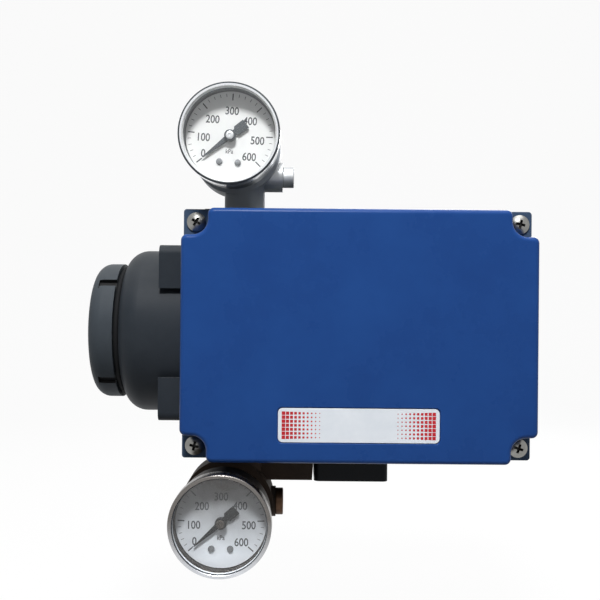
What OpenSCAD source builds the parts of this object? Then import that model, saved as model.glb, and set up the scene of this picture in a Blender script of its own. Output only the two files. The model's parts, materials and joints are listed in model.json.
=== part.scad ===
// Valve positioner with a terminal housing, two pressure gauges and a feedback lever.
// Millimetres. X runs right seen from the front, Y to the back, Z up.
// Zero lies on the back face, in the middle of the four mounting holes.

/* [Case] */
// Width of the case casting
case_w = 151; // [148:1:160]
// Height of the case casting
case_h = 107; // [104:1:116]
// Depth of the case from its back face to its rim
case_d = 77; // [74:1:86]
// Side wall thickness of the case
case_wall = 4; // [3:0.5:4.5]
// Back wall thickness of the case
back_wall = 6; // [5:0.5:7]
// Corner radius of the case
case_corner = 4; // [2:0.5:5]
// Sideways pitch of the tapped mounting holes
mount_px = 120; // [114:1:122]
// Upright pitch of the tapped mounting holes
mount_pz = 80; // [76:1:82]
// Radius of the tapped mounting holes
mount_r = 3.4; // [2.5:0.1:4]
// Depth of the tapped mounting holes
mount_deep = 12; // [8:0.5:13]

/* [Cover] */
// Depth of the cover from its front face to the gasket
cover_d = 20; // [17:0.5:26]
// How far the cover rim stands past the case on each side
cover_lip = 1.2; // [0.6:0.1:2]
// Draft of the cover sides, front face to rim
cover_draft = 0.7; // [0.3:0.1:1]
// Wall thickness of the cover
cover_wall = 3; // [2.5:0.25:3.5]
// Rounding of the front edges of the cover
cover_edge = 2; // [1:0.25:2.5]
// Thickness of the screw seats in the corner notches
seat_t = 3; // [2:0.25:4]
// Radius of the corner notches round the screws
notch_r = 6.5; // [6:0.25:7.5]
// Distance of the cover screws from the sides of the front face
screw_inset = 4.8; // [4.5:0.1:5.5]
// Shank radius of the cover screws
cover_screw_r = 2; // [1.5:0.1:2.2]
// Thickness of the cover gasket
gasket_t = 1; // [0.5:0.1:2]
// Width of the nameplate
plate_w = 68.4; // [50:0.2:80]
// Height of the nameplate
plate_h = 14.5; // [10:0.1:18]
// Thickness of the nameplate
plate_t = 0.6; // [0.4:0.1:1]

/* [Terminal housing] */
// Length of the corner lugs along the housing axis
flange_l = 13; // [11:0.5:15]
// Radius of the dome
dome_r = 38.5; // [36:0.5:40]
// Length from the seat to the dome end
dome_l = 32; // [28:0.5:36]
// Rounding of the dome shoulder
shoulder_r = 10; // [8:0.5:10.5]
// Radius of the threaded neck
neck_r = 28; // [26.5:0.5:28.5]
// Radius of the wiring chamber
chamber_r = 23; // [22:0.5:24.5]
// Groove between the dome and the cap
cap_groove = 2.8; // [2.6:0.1:5]
// Outer radius of the cap
cap_r = 32; // [31.5:0.25:34]
// Length of the cap
cap_l = 12; // [11.5:0.25:16]
// Rounding of the cap rim
cap_edge = 6.5; // [3:0.5:6.5]
// Width of the wrench slots in the cap
slot_w = 4; // [2:0.5:6]
// Core radius of the conduit entry
conduit_r = 9.3; // [7:0.1:9.5]

/* [Gauges] */
// Radius of a gauge case
gauge_r = 20.6; // [20.2:0.1:22]
// Depth of a gauge from case back to ring front
gauge_d = 26; // [25.5:0.25:32]
// How far the ring stands out past the gauge case
ring_t = 1.15; // [0.8:0.05:1.5]
// Length of a gauge pointer from its axis to its tip
pointer_l = 15; // [12:0.25:16]
// Pointer turn from zero to full scale
pointer_sweep = 263; // [200:1:280]
// Axis of the upper gauge from the left end of the case
up_in = 19.5; // [17.5:0.5:21.5]
// Axis of the upper gauge above the case top
up_rise = 32.1; // [31:0.1:38]
// Front of the upper gauge ahead of the cover front
up_fore = 0; // [-3:0.5:4]
// Axis of the lower gauge from the left end of the case
low_in = 17.5; // [15.5:0.5:20.5]
// Axis of the lower gauge below the case bottom
low_drop = 25.9; // [25:0.1:32]
// Front of the lower gauge ahead of the cover front
low_fore = 7; // [3:0.5:10]
// Radius of the round heads of the gauge blocks
head_r = 21; // [19:0.25:22]
// Thickness of the round heads of the gauge blocks
head_t = 20; // [18:0.5:22]

/* [Air block] */
// Width of the air connection block
air_w = 35; // [33:0.5:38]
// Height of the air connection block
air_h = 17; // [16.5:0.1:24]
// Depth of the air connection block
air_d = 26; // [20:0.5:30]
// Pitch of the two air ports
port_pitch = 17; // [15:0.5:18]
// Core radius of the air ports
port_r = 5.72; // [4.2:0.02:5.9]
// Depth of the air ports
port_deep = 14; // [10:0.5:15]

/* [Feedback] */
// Height of the feedback shaft
shaft_z = -14; // [-15:0.5:-13]
// Radius of the feedback shaft
shaft_r = 4; // [3.2:0.1:4.5]
// Length of the lever from the shaft to its far end
lever_l = 78; // [60:1:100]
// Width of the lever
lever_w = 16; // [14:0.5:20]
// Thickness of the lever
lever_t = 3; // [2:0.25:5]
// Width of the slot in the lever
lever_slot = 6.2; // [5:0.1:8]
// Length of the feedback arm inside the case
arm_l = 34; // [33:0.5:38]

/* [Motor and beam] */
// Distance of the beam ahead of the back wall
beam_fore = 32; // [31.5:0.5:36]
// Height of the middle of the beam
beam_z = 6; // [5.5:0.25:6.5]
// Height of the beam section
beam_h = 4; // [3:0.25:4.25]
// Depth of the beam section
beam_t = 8; // [6:0.25:9]
// Pivot of the beam, sideways
pivot_x = -26; // [-27:0.25:-25.5]
// Radius of the pivot pin
pivot_r = 2; // [1.5:0.1:2.5]
// Air gap on each side of the armature
pole_gap = 1.2; // [1:0.1:1.8]
// Bar thickness of the motor yoke
yoke_t = 5; // [4:0.25:5.5]
// Radius of the coil winding
coil_r = 10; // [9:0.25:12]

/* [Relay and adjusters] */
// Width of the pilot relay
relay_w = 44; // [42:0.5:46]
// Height of the pilot relay
relay_h = 30; // [28:0.25:30.5]
// Depth of the relay base
relay_d = 38; // [37:0.5:42]
// Depth of the relay cap
relay_cap_d = 13; // [10:0.5:16]
// Thickness of the relay diaphragm
diaphragm_t = 1; // [0.6:0.1:1.5]
// Gap from the nozzle tip to the beam
nozzle_gap = 1; // [0.8:0.05:1.4]
// Radius of the zero wheel
wheel_r = 9; // [7:0.25:9.5]
// Radius of the zero screw
zero_r = 2; // [1.5:0.1:2.5]

/* [Hidden] */
$fn = 64;
// Running fit and seat clearances
run = 0.05;
seat = 0.04;
rim_y = -case_d;
cover_y = rim_y - gasket_t;
front_y = cover_y - cover_d;
yb = -back_wall;
rim_w = case_w + 2 * cover_lip;
rim_h = case_h + 2 * cover_lip;
front_w = rim_w - 2 * cover_draft;
front_h = rim_h - 2 * cover_draft;
screw_x = front_w / 2 - screw_inset;
screw_z = front_h / 2 - screw_inset;
screw_boss = 6;
screw_deep = 12;
seat_y = cover_y - seat_t;
plate_z = -(front_h / 2 - 16.2);
plate_sink = plate_t + 0.3;
// Terminal housing, measured along its axis from its seat on the case
house_x = -case_w / 2;
house_y = rim_y / 2 - 1;
lobe_y = 29.5;
lobe_z = 33.5;
lug_z = lobe_z + 6;
lug_y = lobe_y + 7;
lug_in = 20;
lug_round = 4;
seal_out = 27.2;
bolt_r = 2.5;
bolt_head_r = 4.25;
bolt_head_h = 5;
bolt_sink = 6.5;
bolt_boss = 6;
neck_l = dome_l + cap_groove + cap_l - 4.5;
floor_l = 6;
cap_0 = dome_l + cap_groove;
cap_wall = 4;
entry_l = 16;
entry_z = 13.4;
entry_r = conduit_r + 3.7;
entry_end = dome_r + 9;
ring_wire = 1.2;
strip_l = 34;
strip_w = 18;
strip_t = 7;
strip_pitch = 10.75;
strip_screw = 1.75;
rib_t = 1.8;
rib_rise = 5;
// Gauges
up_x = -case_w / 2 + up_in;
low_x = -case_w / 2 + low_in;
up_z = case_h / 2 + up_rise;
low_z = -case_h / 2 - low_drop;
up_y = front_y - up_fore + gauge_d;
low_y = front_y - low_fore + gauge_d;
up_turn = -3.5;
dial_z = gauge_d - 9.6;
dial_t = 0.6;
plate_in = gauge_d - 13;
plate_bk = 4.4;
mv_t = 1.2;
arbor_r = 0.6;
tooth_m = 0.3;
pinion_n = 10;
sector_n = 80;
sector_c = tooth_m * (pinion_n + sector_n) / 2;
sector_a = 225;
sector_sweep = pointer_sweep * pinion_n / sector_n;
tube_r = 16;
screw_dx = 4;
screw_dy = -11.2;
socket_r = 4.95;
socket_in = 12;
hex_r = 8.1;
// Air block
air_x = -0.5;
air_y = rim_y / 2;
// Gauge blocks
block_y0 = rim_y + 19;
block_y1 = block_y0 + head_t;
low_y0 = rim_y + 13;
neck_w = 18.8;
neck_x = up_x + 4;
neck_round = 7;
foot_t = 4;
up_port_z = up_z - 11.9;
up_port_x = up_x + 22;
low_port_x = low_x + 22;
plug_r = 4.9;
plug_out = 5.3;
low_bar_x0 = low_x - 2;
low_bar_gap = 1;
low_bar_x1 = air_x - air_w / 2 - low_bar_gap;
low_bar_h = 15.2;
low_bar_y1 = low_y0 + 26;
duct_r = 2;
// Mechanism
beam_y = yb - beam_fore;
flapper_l = 62;
beam_x1 = pivot_x + flapper_l;
shaft_x = 0;
boss_r = 10;
bush_r = 6.5;
boss_in = 10;
shaft_in = beam_y - 7;
collar_y = 0.6;
lever_y = 12;
stud_r = 3;
spring_x = 30;
spring_r = 3;
wire_r = 0.4;
hub_r = 7.5;
arm_h = 6;
arm_t = 8;
pole_back = 8;
motor_gap = 5.5;
magnet_t = 4.6;
yoke_half = 19;
yoke_x1 = pivot_x - pole_back;
yoke_x0 = -case_w / 2 + case_wall + motor_gap;
yoke_zt = beam_z + yoke_half;
yoke_zb = beam_z - yoke_half;
beam_x0 = yoke_x0 + yoke_t + 1;
yoke_d = 14;
coil_x1 = yoke_x1 - yoke_t - 2;
coil_x0 = yoke_x0 + yoke_t + magnet_t + 1.4;
bracket_w = 12;
bracket_drop = 14;
cheek_t = 3;
cheek_y = 10;
cheek_w = 9;
relay_x = 26;
relay_gap = 1.5;
relay_z = case_h / 2 - case_wall - relay_gap - relay_h / 2;
relay_y = yb - relay_d;
nozzle_x = 14;
switch_head = 4.4;
switch_x = relay_x + relay_w / 2 + switch_head + 0.6;
switch_z = relay_z - relay_h / 2 + 7;
switch_r = 3;
zero_x = pivot_x + 12;
shelf_up = 11.5;
shelf_z = -case_h / 2 + case_wall + shelf_up;
shelf_t = 3;
wheel_t = 4.7;
nut_lift = 8.5;
nut_z = shelf_z + nut_lift;
nut_h = 11.5;
nut_top = 1.5;
nut_travel = 3;
nut_r = 5;

// Points on an arc
function arc(cx, cy, r, a0, a1, n) =
  [for (i = [0:n]) [cx + r * cos(a0 + (a1 - a0) * i / n), cy + r * sin(a0 + (a1 - a0) * i / n)]];

// Outline of a rectangle with rounded corners
function round_rect(w, h, r) = concat(
  arc(w / 2 - r, h / 2 - r, r, 0, 90, 6), arc(r - w / 2, h / 2 - r, r, 90, 180, 6),
  arc(r - w / 2, r - h / 2, r, 180, 270, 6), arc(w / 2 - r, r - h / 2, r, 270, 360, 6));

// Outline of a bar with round ends along x
function round_bar(x0, x1, w) = concat(
  arc(x1, 0, w / 2, -90, 90, 12), arc(x0, 0, w / 2, 90, 270, 12));

// Section of a part with two rounded front corners, across by depth
function lid_section(w0, w1, d, r) = concat([[-w0 / 2, 0], [w0 / 2, 0]],
  arc(w1 / 2 - r, d - r, r, 0, 90, 8), arc(r - w1 / 2, d - r, r, 90, 180, 8));

// Outline of one gear tooth row, from tooth a to tooth b
function teeth(n, m, a, b) = [for (i = [a:b], k = [0:3])
  let (r = k == 0 || k == 3 ? n * m / 2 - 1.15 * m : n * m / 2 + 0.85 * m,
       w = k == 0 || k == 3 ? 96 : 34,
       s = k < 2 ? -1 : 1)
  [r * cos((i * 360 + s * w) / n), r * sin((i * 360 + s * w) / n)]];

// Drawing plane turned upright: x stays, y becomes Z, height grows to the front
module upright(y) { translate([0, y, 0]) rotate([90, 0, 0]) children(); }

// A round bar along Y from y0 forward to y1
module along_y(x, z, r, y0, y1) { translate([x, y0, z]) rotate([90, 0, 0]) cylinder(r = r, h = y0 - y1); }

// A round bar along X from x0 to x1
module along_x(y, z, r, x0, x1) { translate([x0, y, z]) rotate([0, 90, 0]) cylinder(r = r, h = x1 - x0); }

// A box given by its limits
module box(x0, x1, y0, y1, z0, z1) { translate([x0, y0, z0]) cube([x1 - x0, y1 - y0, z1 - z0]); }

// Frame of the terminal housing: height grows along the housing axis to the left
module at_house() { translate([house_x, house_y, 0]) rotate([0, -90, 0]) children(); }

// Frames of the gauges: height grows to the front
module at_upper() { translate([up_x, up_y, up_z]) rotate([90, 0, 0]) rotate([0, 0, up_turn]) children(); }
module at_lower() { translate([low_x, low_y, low_z]) rotate([90, 0, 0]) children(); }

module at_lobes() { for (sz = [-1, 1], sy = [-1, 1]) translate([sz * lobe_z, sy * lobe_y, 0]) children(); }
module at_cover_screws() { for (sx = [-1, 1], sz = [-1, 1]) translate([sx * screw_x, 0, sz * screw_z]) children(); }
module at_mounts() { for (sx = [-1, 1], sz = [-1, 1]) translate([sx * mount_px / 2, 0, sz * mount_pz / 2]) children(); }

// Close-wound spring body along Z
module coil_spring(r, l) {
  n = floor(l / (2 * wire_r));
  rotate_extrude() union() {
    translate([r - 0.15, 0]) square([0.3, l]);
    for (i = [0:n - 1]) translate([r - wire_r, i * l / n + l / n * 0.08]) square([2 * wire_r, l / n * 0.84]);
  }
}

module case() {
  color([0.2, 0.21, 0.23]) difference() {
    union() {
      difference() {
        upright(0) linear_extrude(case_d) polygon(round_rect(case_w, case_h, case_corner));
        upright(yb) linear_extrude(case_d)
          polygon(round_rect(case_w - 2 * case_wall, case_h - 2 * case_wall, 2));
      }
      intersection() {
        at_cover_screws() along_y(0, 0, screw_boss, yb + 1, rim_y);
        box(-case_w / 2 + 1, case_w / 2 - 1, rim_y, 0, -case_h / 2 + 1, case_h / 2 - 1);
      }
      at_mounts() along_y(0, 0, mount_r + 4, yb + 1, -mount_deep - 2.5);
      along_y(shaft_x, shaft_z, boss_r, yb + 1, yb - boss_in);
      at_house() at_lobes() translate([0, 0, -case_wall - bolt_boss]) cylinder(r = bolt_r + 3, h = bolt_boss + 1);
    }
    at_cover_screws() along_y(0, 0, cover_screw_r + run, rim_y + screw_deep, rim_y - 1);
    at_mounts() along_y(0, 0, mount_r, 1, -mount_deep);
    along_y(shaft_x, shaft_z, bush_r, 1, yb - boss_in - 1);
    at_house() at_lobes() translate([0, 0, -case_wall - bolt_boss - 1]) cylinder(r = bolt_r + run, h = 20);
    at_house() translate([0, 0, -case_wall - 1]) cylinder(r = 7, h = 10);
    translate([neck_x, block_y0 + head_t / 2, case_h / 2 - case_wall - 1]) cylinder(r = duct_r, h = case_wall + 2);
    translate([neck_x, low_y0 + head_t / 2, -case_h / 2 - 1]) cylinder(r = duct_r, h = case_wall + 2);
    for (s = [-1, 1]) translate([air_x + s * port_pitch / 2, air_y, -case_h / 2 - 1])
      cylinder(r = duct_r, h = case_wall + 2);
  }
}

module cover_gasket() {
  color([0.1, 0.1, 0.11]) difference() {
    upright(rim_y) linear_extrude(gasket_t) difference() {
      polygon(round_rect(case_w, case_h, case_corner));
      polygon(round_rect(case_w - 2 * case_wall, case_h - 2 * case_wall, 2));
    }
    at_cover_screws() along_y(0, 0, cover_screw_r + 0.4, rim_y + 1, cover_y - 1);
  }
}

module shaft_bushes() {
  color([0.72, 0.52, 0.3]) for (y = [0, yb - boss_in + 7]) difference() {
    along_y(shaft_x, shaft_z, bush_r - seat, y, y - 7);
    along_y(shaft_x, shaft_z, shaft_r + run, y + 1, y - 8);
  }
}

module shaft_seal() {
  color([0.08, 0.08, 0.08]) difference() {
    along_y(shaft_x, shaft_z, bush_r - seat, -7, yb - boss_in + 7);
    along_y(shaft_x, shaft_z, shaft_r + 0.1, 1, yb - boss_in - 1);
  }
}

module air_block() {
  color([0.09, 0.1, 0.11]) difference() {
    translate([air_x, air_y, -case_h / 2 - air_h]) linear_extrude(air_h) polygon(round_rect(air_w, air_d, 2.5));
    for (s = [-1, 1]) translate([air_x + s * port_pitch / 2, air_y, -case_h / 2 - air_h]) {
      translate([0, 0, -1]) cylinder(r = port_r, h = port_deep + 1);
      cylinder(r = duct_r, h = air_h + 1);
    }
  }
}

// Outline of one corner lug, rounded at its outer corner
lug = concat([[lug_in, lug_in - 2], [lug_z, lug_in - 2]],
  arc(lug_z - lug_round, lug_y - lug_round, lug_round, 0, 90, 8), [[lug_in, lug_y]]);

module terminal_housing() {
  color([0.26, 0.28, 0.3]) at_house() difference() {
    union() {
      for (sz = [-1, 1], sy = [-1, 1]) linear_extrude(flange_l) scale([sz, sy]) polygon(lug);
      rotate_extrude() polygon(concat([[0, 0], [dome_r, 0]],
        arc(dome_r - shoulder_r, dome_l + 0.5 - shoulder_r, shoulder_r, 0, asin((shoulder_r - 0.5) / shoulder_r), 10),
        [[neck_r, dome_l], [neck_r, neck_l], [0, neck_l]]));
      translate([0, 0, entry_z]) rotate([-90, 0, 0]) cylinder(r = entry_r, h = entry_end);
    }
    translate([0, 0, floor_l]) cylinder(r = chamber_r, h = neck_l);
    translate([0, 0, -1]) cylinder(r = 5, h = floor_l + 2);
    translate([0, 0, entry_z]) rotate([-90, 0, 0]) {
      translate([0, 0, entry_end - entry_l]) cylinder(r = conduit_r, h = entry_l + 1);
      cylinder(r = conduit_r - 2, h = entry_end);
    }
    translate([0, 0, -1]) difference() {
      cylinder(r = seal_out, h = 3);
      translate([0, 0, -1]) cylinder(r = seal_out - 3, h = 5);
    }
    at_lobes() {
      translate([0, 0, -1]) cylinder(r = bolt_r + 0.3, h = flange_l);
      translate([0, 0, flange_l - bolt_sink]) cylinder(r = bolt_head_r + 0.35, h = bolt_sink + 1);
    }
  }
}

module housing_seal() {
  color([0.08, 0.08, 0.08]) at_house() difference() {
    cylinder(r = seal_out - seat, h = 2);
    translate([0, 0, -1]) cylinder(r = seal_out - 3 + seat, h = 4);
  }
}

module housing_bolts() {
  color([0.5, 0.5, 0.52]) at_house() at_lobes() difference() {
    union() {
      translate([0, 0, flange_l - bolt_sink]) cylinder(r = bolt_head_r, h = bolt_head_h);
      translate([0, 0, -case_wall - bolt_boss + 1]) cylinder(r = bolt_r, h = flange_l - bolt_sink + case_wall + bolt_boss);
    }
    translate([0, 0, flange_l - bolt_sink + bolt_head_h - 2.5]) cylinder(r = 2.3, h = 5, $fn = 6);
  }
}

// Three barrier terminals
module terminal_base() {
  color([0.12, 0.12, 0.13]) at_house() translate([0, 0, floor_l]) difference() {
    union() {
      translate([-strip_l / 2, -strip_w / 2, 0]) cube([strip_l, strip_w, strip_t]);
      for (k = [-1.5:1.5]) translate([k * strip_pitch - rib_t / 2, -strip_w / 2, 0])
        cube([rib_t, strip_w, strip_t + rib_rise]);
    }
    for (k = [-1:1]) translate([k * strip_pitch, 0, strip_t - 5]) cylinder(r = strip_screw + seat, h = strip_t);
  }
}

module terminal_screws() {
  color([0.75, 0.73, 0.66]) at_house() for (k = [-1:1]) translate([k * strip_pitch, 0, floor_l + strip_t]) difference() {
    union() {
      translate([0, 0, -5]) cylinder(r = strip_screw, h = 6);
      translate([-3.8, -3.8, 0]) cube([7.6, 7.6, 1.2]);
      cylinder(r = 3.2, h = 3.4);
    }
    translate([-4, -0.45, 2.4]) cube([8, 0.9, 2]);
  }
}

// Round head and neck of a gauge block, drawn at its gauge axis
module block_body(x, z, y0, y1, foot_z) {
  along_y(x, z, head_r, y1, y0);
  translate([neck_x, (y0 + y1) / 2, min(z, foot_z)]) linear_extrude(abs(z - foot_z))
    polygon(round_rect(neck_w, y1 - y0, neck_round));
}

module upper_gauge_block() {
  color([0.2, 0.215, 0.24]) difference() {
    union() {
      block_body(up_x, up_z, block_y0, block_y1, case_h / 2);
      box(neck_x - 18, neck_x + 18, block_y0, block_y1, case_h / 2, case_h / 2 + foot_t);
      along_x(block_y0 + head_t / 2, up_port_z, 7, up_x, up_port_x);
    }
    along_y(up_x, up_z, socket_r + run, block_y0 + socket_in + 2, block_y0 - 1);
    along_x(block_y0 + head_t / 2, up_port_z, plug_r - 0.9 + run, up_port_x - 9, up_port_x + 1);
    translate([neck_x, block_y0 + head_t / 2, case_h / 2 - 1]) cylinder(r = duct_r, h = up_rise - 4);
  }
}

module upper_block_plug() {
  color([0.8, 0.81, 0.82]) difference() {
    union() {
      along_x(block_y0 + head_t / 2, up_port_z, plug_r, up_port_x, up_port_x + plug_out);
      along_x(block_y0 + head_t / 2, up_port_z, plug_r - 0.9, up_port_x - 8, up_port_x + 1);
    }
    translate([up_port_x + plug_out - 3, block_y0 + head_t / 2, up_port_z]) rotate([0, 90, 0])
      cylinder(r = 2.9, h = 5, $fn = 6);
  }
}

module lower_gauge_block() {
  color([0.1, 0.1, 0.1]) difference() {
    union() {
      block_body(low_x, low_z, low_y0, low_y0 + head_t, -case_h / 2);
      box(low_bar_x0, low_bar_x1, low_y0 + 6, low_bar_y1, -case_h / 2 - low_bar_h, -case_h / 2);
      along_x(low_y0 + head_t / 2, low_z, 7, low_x, low_port_x);
    }
    along_y(low_x, low_z, socket_r + run, low_y0 + socket_in + 2, low_y0 - 1);
    along_x(low_y0 + head_t / 2, low_z, plug_r - 0.9 + run, low_port_x - 9, low_port_x + 1);
    translate([neck_x, low_y0 + head_t / 2, -case_h / 2 - low_drop + 6]) cylinder(r = duct_r, h = low_drop);
  }
}

module lower_block_plug() {
  color([0.55, 0.5, 0.4]) difference() {
    union() {
      along_x(low_y0 + head_t / 2, low_z, plug_r + 1.3, low_port_x, low_port_x + 3.5);
      along_x(low_y0 + head_t / 2, low_z, plug_r - 0.9, low_port_x - 8, low_port_x + 1);
    }
    translate([low_port_x + 1.5, low_y0 + head_t / 2, low_z]) rotate([0, 90, 0])
      cylinder(r = 2.9, h = 5, $fn = 6);
  }
}

// Gauge pieces, drawn with the case back at height 0
module g_socket(reach) {
  translate([0, 0, -reach - socket_in]) cylinder(r = socket_r, h = socket_in + 1);
  translate([0, 0, -reach]) cylinder(r = hex_r, h = reach, $fn = 6);
  translate([0, 0, -1]) cylinder(r = socket_r - 0.5, h = 3);
  translate([-5, -15, 1.2]) cube([10, 18, plate_bk - 1.2]);
  translate([-3, -tube_r - 0.8, 1.2]) cube([6, 5.6, 8.6]);
}

module g_case() {
  difference() {
    cylinder(r = gauge_r, h = gauge_d - 4.3);
    translate([0, 0, 1.2]) cylinder(r = gauge_r - 0.9, h = gauge_d);
    translate([0, 0, -1]) cylinder(r = socket_r - 0.5 + seat, h = 4);
  }
}

module g_ring() {
  rotate_extrude() polygon(concat(
    [[gauge_r + seat, gauge_d - 8.5], [gauge_r + ring_t, gauge_d - 8.5]],
    arc(gauge_r + ring_t - 1.6, gauge_d - 1.6, 1.6, 0, 90, 8),
    [[gauge_r - 1, gauge_d - 0.9], [gauge_r - 1, gauge_d - 2.4], [gauge_r + seat, gauge_d - 2.4]]));
}

module g_lens() {
  translate([0, 0, gauge_d - 4.2]) cylinder(r = gauge_r - 0.1, h = 1.7);
}

module g_dial() {
  difference() {
    translate([0, 0, dial_z]) cylinder(r = gauge_r - 1.2, h = dial_t);
    translate([0, 0, dial_z - 1]) cylinder(r = 1.2, h = 3);
  }
}

// Two plates on pillars, with the dial screws on the front plate
module g_movement() {
  c = [sector_c * cos(sector_a), sector_c * sin(sector_a)];
  difference() {
    union() {
      translate([-11.2, -11.2, plate_bk]) cube([20, 18.5, mv_t]);
      translate([-11.2, -13.2, plate_in]) cube([20, 20.5, mv_t]);
      for (p = [[-9.6, 5], [7, 5], [7, -9.4]]) translate([p[0], p[1], plate_bk]) cylinder(r = 1.2, h = plate_in - plate_bk + 0.5);
      for (s = [-1, 1]) translate([s * screw_dx, screw_dy, plate_in]) cylinder(r = 1.2, h = dial_z - plate_in);
    }
    translate([0, 0, plate_bk - 1]) cylinder(r = arbor_r + run, h = gauge_d);
    translate([c[0], c[1], plate_bk - 1]) cylinder(r = 0.8 + run, h = gauge_d);
  }
}

module g_tube() {
  translate([0, 0, 4.7]) rotate([0, 0, -78]) rotate_extrude(angle = 248) translate([tube_r - 0.7, 0]) square([1.4, 4.8]);
}

// Pointer with its arbor and pinion, resting on zero
module g_pointer() {
  translate([0, 0, plate_bk + 0.2]) cylinder(r = arbor_r, h = dial_z - plate_bk + 2);
  rotate([0, 0, sector_a]) translate([0, 0, 6.9]) linear_extrude(1.8)
    rotate([0, 0, 18]) polygon(teeth(pinion_n, tooth_m, 0, pinion_n - 1));
  rotate([0, 0, 90 + pointer_sweep / 2]) translate([0, 0, dial_z + 1.4]) {
    linear_extrude(0.7) polygon([[pointer_l, 0.18], [2, 1.2], [-3, 1.2], [-3.8, 2.1],
      [-8.6, 2.1], [-8.6, -2.1], [-3.8, -2.1], [-3, -1.2], [2, -1.2], [pointer_l, -0.18]]);
    translate([0, 0, -0.3]) cylinder(r = 2.4, h = 2);
  }
}

// Toothed sector on its own arbor, meshing with the pinion
module g_sector() {
  n = ceil(sector_sweep * sector_n / 360) + 2;
  translate([sector_c * cos(sector_a), sector_c * sin(sector_a), 0]) {
    translate([0, 0, plate_bk + 0.1]) cylinder(r = 0.8, h = plate_in - plate_bk + mv_t - 0.2);
    translate([0, 0, 7.3]) rotate([0, 0, sector_a - 180]) linear_extrude(1) union() {
      polygon(concat(teeth(sector_n, tooth_m, -n, 2),
        arc(0, 0, 8.6, 14, -(n + 1) * 360 / sector_n, 12)));
      polygon([[0, -1.8], [0, 1.8], [9.2, 1.6], [9.2, -7]]);
      circle(r = 1.8);
    }
  }
}

module upper_gauge_socket() { color([0.75, 0.6, 0.32]) at_upper() g_socket(block_y0 - up_y); }
module upper_gauge_case() { color([0.72, 0.73, 0.75]) at_upper() g_case(); }
module upper_gauge_ring() { color([0.85, 0.86, 0.88]) at_upper() g_ring(); }
module upper_gauge_lens() { color([0.85, 0.92, 0.95, 0.35]) at_upper() g_lens(); }
module upper_gauge_dial() { color([0.95, 0.95, 0.94]) at_upper() g_dial(); }
module upper_movement() { color([0.78, 0.66, 0.36]) at_upper() g_movement(); }
module upper_bourdon_tube() { color([0.76, 0.55, 0.3]) at_upper() g_tube(); }
module upper_pointer() { color([0.06, 0.06, 0.06]) at_upper() g_pointer(); }
module upper_sector() { color([0.8, 0.68, 0.38]) at_upper() g_sector(); }
module lower_gauge_socket() { color([0.75, 0.6, 0.32]) at_lower() g_socket(low_y0 - low_y); }
module lower_gauge_case() { color([0.72, 0.73, 0.75]) at_lower() g_case(); }
module lower_gauge_ring() { color([0.85, 0.86, 0.88]) at_lower() g_ring(); }
module lower_gauge_lens() { color([0.85, 0.92, 0.95, 0.35]) at_lower() g_lens(); }
module lower_gauge_dial() { color([0.95, 0.95, 0.94]) at_lower() g_dial(); }
module lower_movement() { color([0.78, 0.66, 0.36]) at_lower() g_movement(); }
module lower_bourdon_tube() { color([0.76, 0.55, 0.3]) at_lower() g_tube(); }
module lower_pointer() { color([0.06, 0.06, 0.06]) at_lower() g_pointer(); }
module lower_sector() { color([0.8, 0.68, 0.38]) at_lower() g_sector(); }

// Bridge from the back wall with two cheeks for the pivot pin
module pivot_bracket() {
  zl = beam_z - bracket_drop;
  color([0.6, 0.6, 0.62]) difference() {
    union() {
      box(pivot_x - bracket_w / 2, pivot_x + bracket_w / 2, beam_y - cheek_y, yb, zl, zl + 5);
      for (y = [beam_y - cheek_y, beam_y + cheek_y - cheek_t])
        box(pivot_x - cheek_w / 2, pivot_x + cheek_w / 2, y, y + cheek_t, zl, beam_z + 5);
    }
    along_y(pivot_x, beam_z, pivot_r + seat, beam_y + cheek_y + 2, beam_y - cheek_y - 2);
  }
}

module pivot_pin() {
  color([0.7, 0.7, 0.72]) along_y(pivot_x, beam_z, pivot_r, beam_y + cheek_y + 1, beam_y - cheek_y - 1);
}

// Closed frame round the coil, standing on four legs
module motor_yoke() {
  color([0.45, 0.46, 0.48]) difference() {
    union() {
      box(yoke_x0, yoke_x1, beam_y - yoke_d / 2, beam_y + yoke_d / 2, yoke_zb, yoke_zt);
      for (z = [yoke_zb, yoke_zt - 8]) for (x = [yoke_x0, yoke_x1 - yoke_t])
        box(x, x + yoke_t, beam_y, yb, z, z + 8);
    }
    box(yoke_x0 + yoke_t, yoke_x1 - yoke_t, beam_y - yoke_d, beam_y + yoke_d / 2 + 1, yoke_zb + yoke_t, yoke_zt - yoke_t);
    box(yoke_x1 - yoke_t - 1, yoke_x1 + 1, beam_y - yoke_d, beam_y + beam_t / 2 + 1, beam_z - beam_h / 2 - 1.5, beam_z + beam_h / 2 + 1.5);
  }
}

module motor_magnets() {
  g = beam_h / 2 + pole_gap;
  color([0.25, 0.25, 0.27]) {
    box(yoke_x0 + yoke_t, yoke_x0 + yoke_t + magnet_t, beam_y - 6, beam_y + 6, beam_z + g, yoke_zt - yoke_t);
    box(yoke_x0 + yoke_t, yoke_x0 + yoke_t + magnet_t, beam_y - 6, beam_y + 6, yoke_zb + yoke_t, beam_z - g);
  }
}

module coil_bobbin() {
  color([0.85, 0.82, 0.72]) difference() {
    union() {
      for (x = [coil_x0, coil_x1 - 2]) box(x, x + 2, beam_y - 6.8, beam_y + 6.8, yoke_zb + yoke_t, yoke_zt - yoke_t);
      along_x(beam_y, beam_z, 6.5, coil_x0, coil_x1);
    }
    along_x(beam_y, beam_z, 5.5, coil_x0 - 1, coil_x1 + 1);
  }
}

module coil_winding() {
  color([0.72, 0.38, 0.18]) difference() {
    along_x(beam_y, beam_z, coil_r, coil_x0 + 2, coil_x1 - 2);
    along_x(beam_y, beam_z, 6.5 + seat, coil_x0, coil_x1);
  }
}

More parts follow.
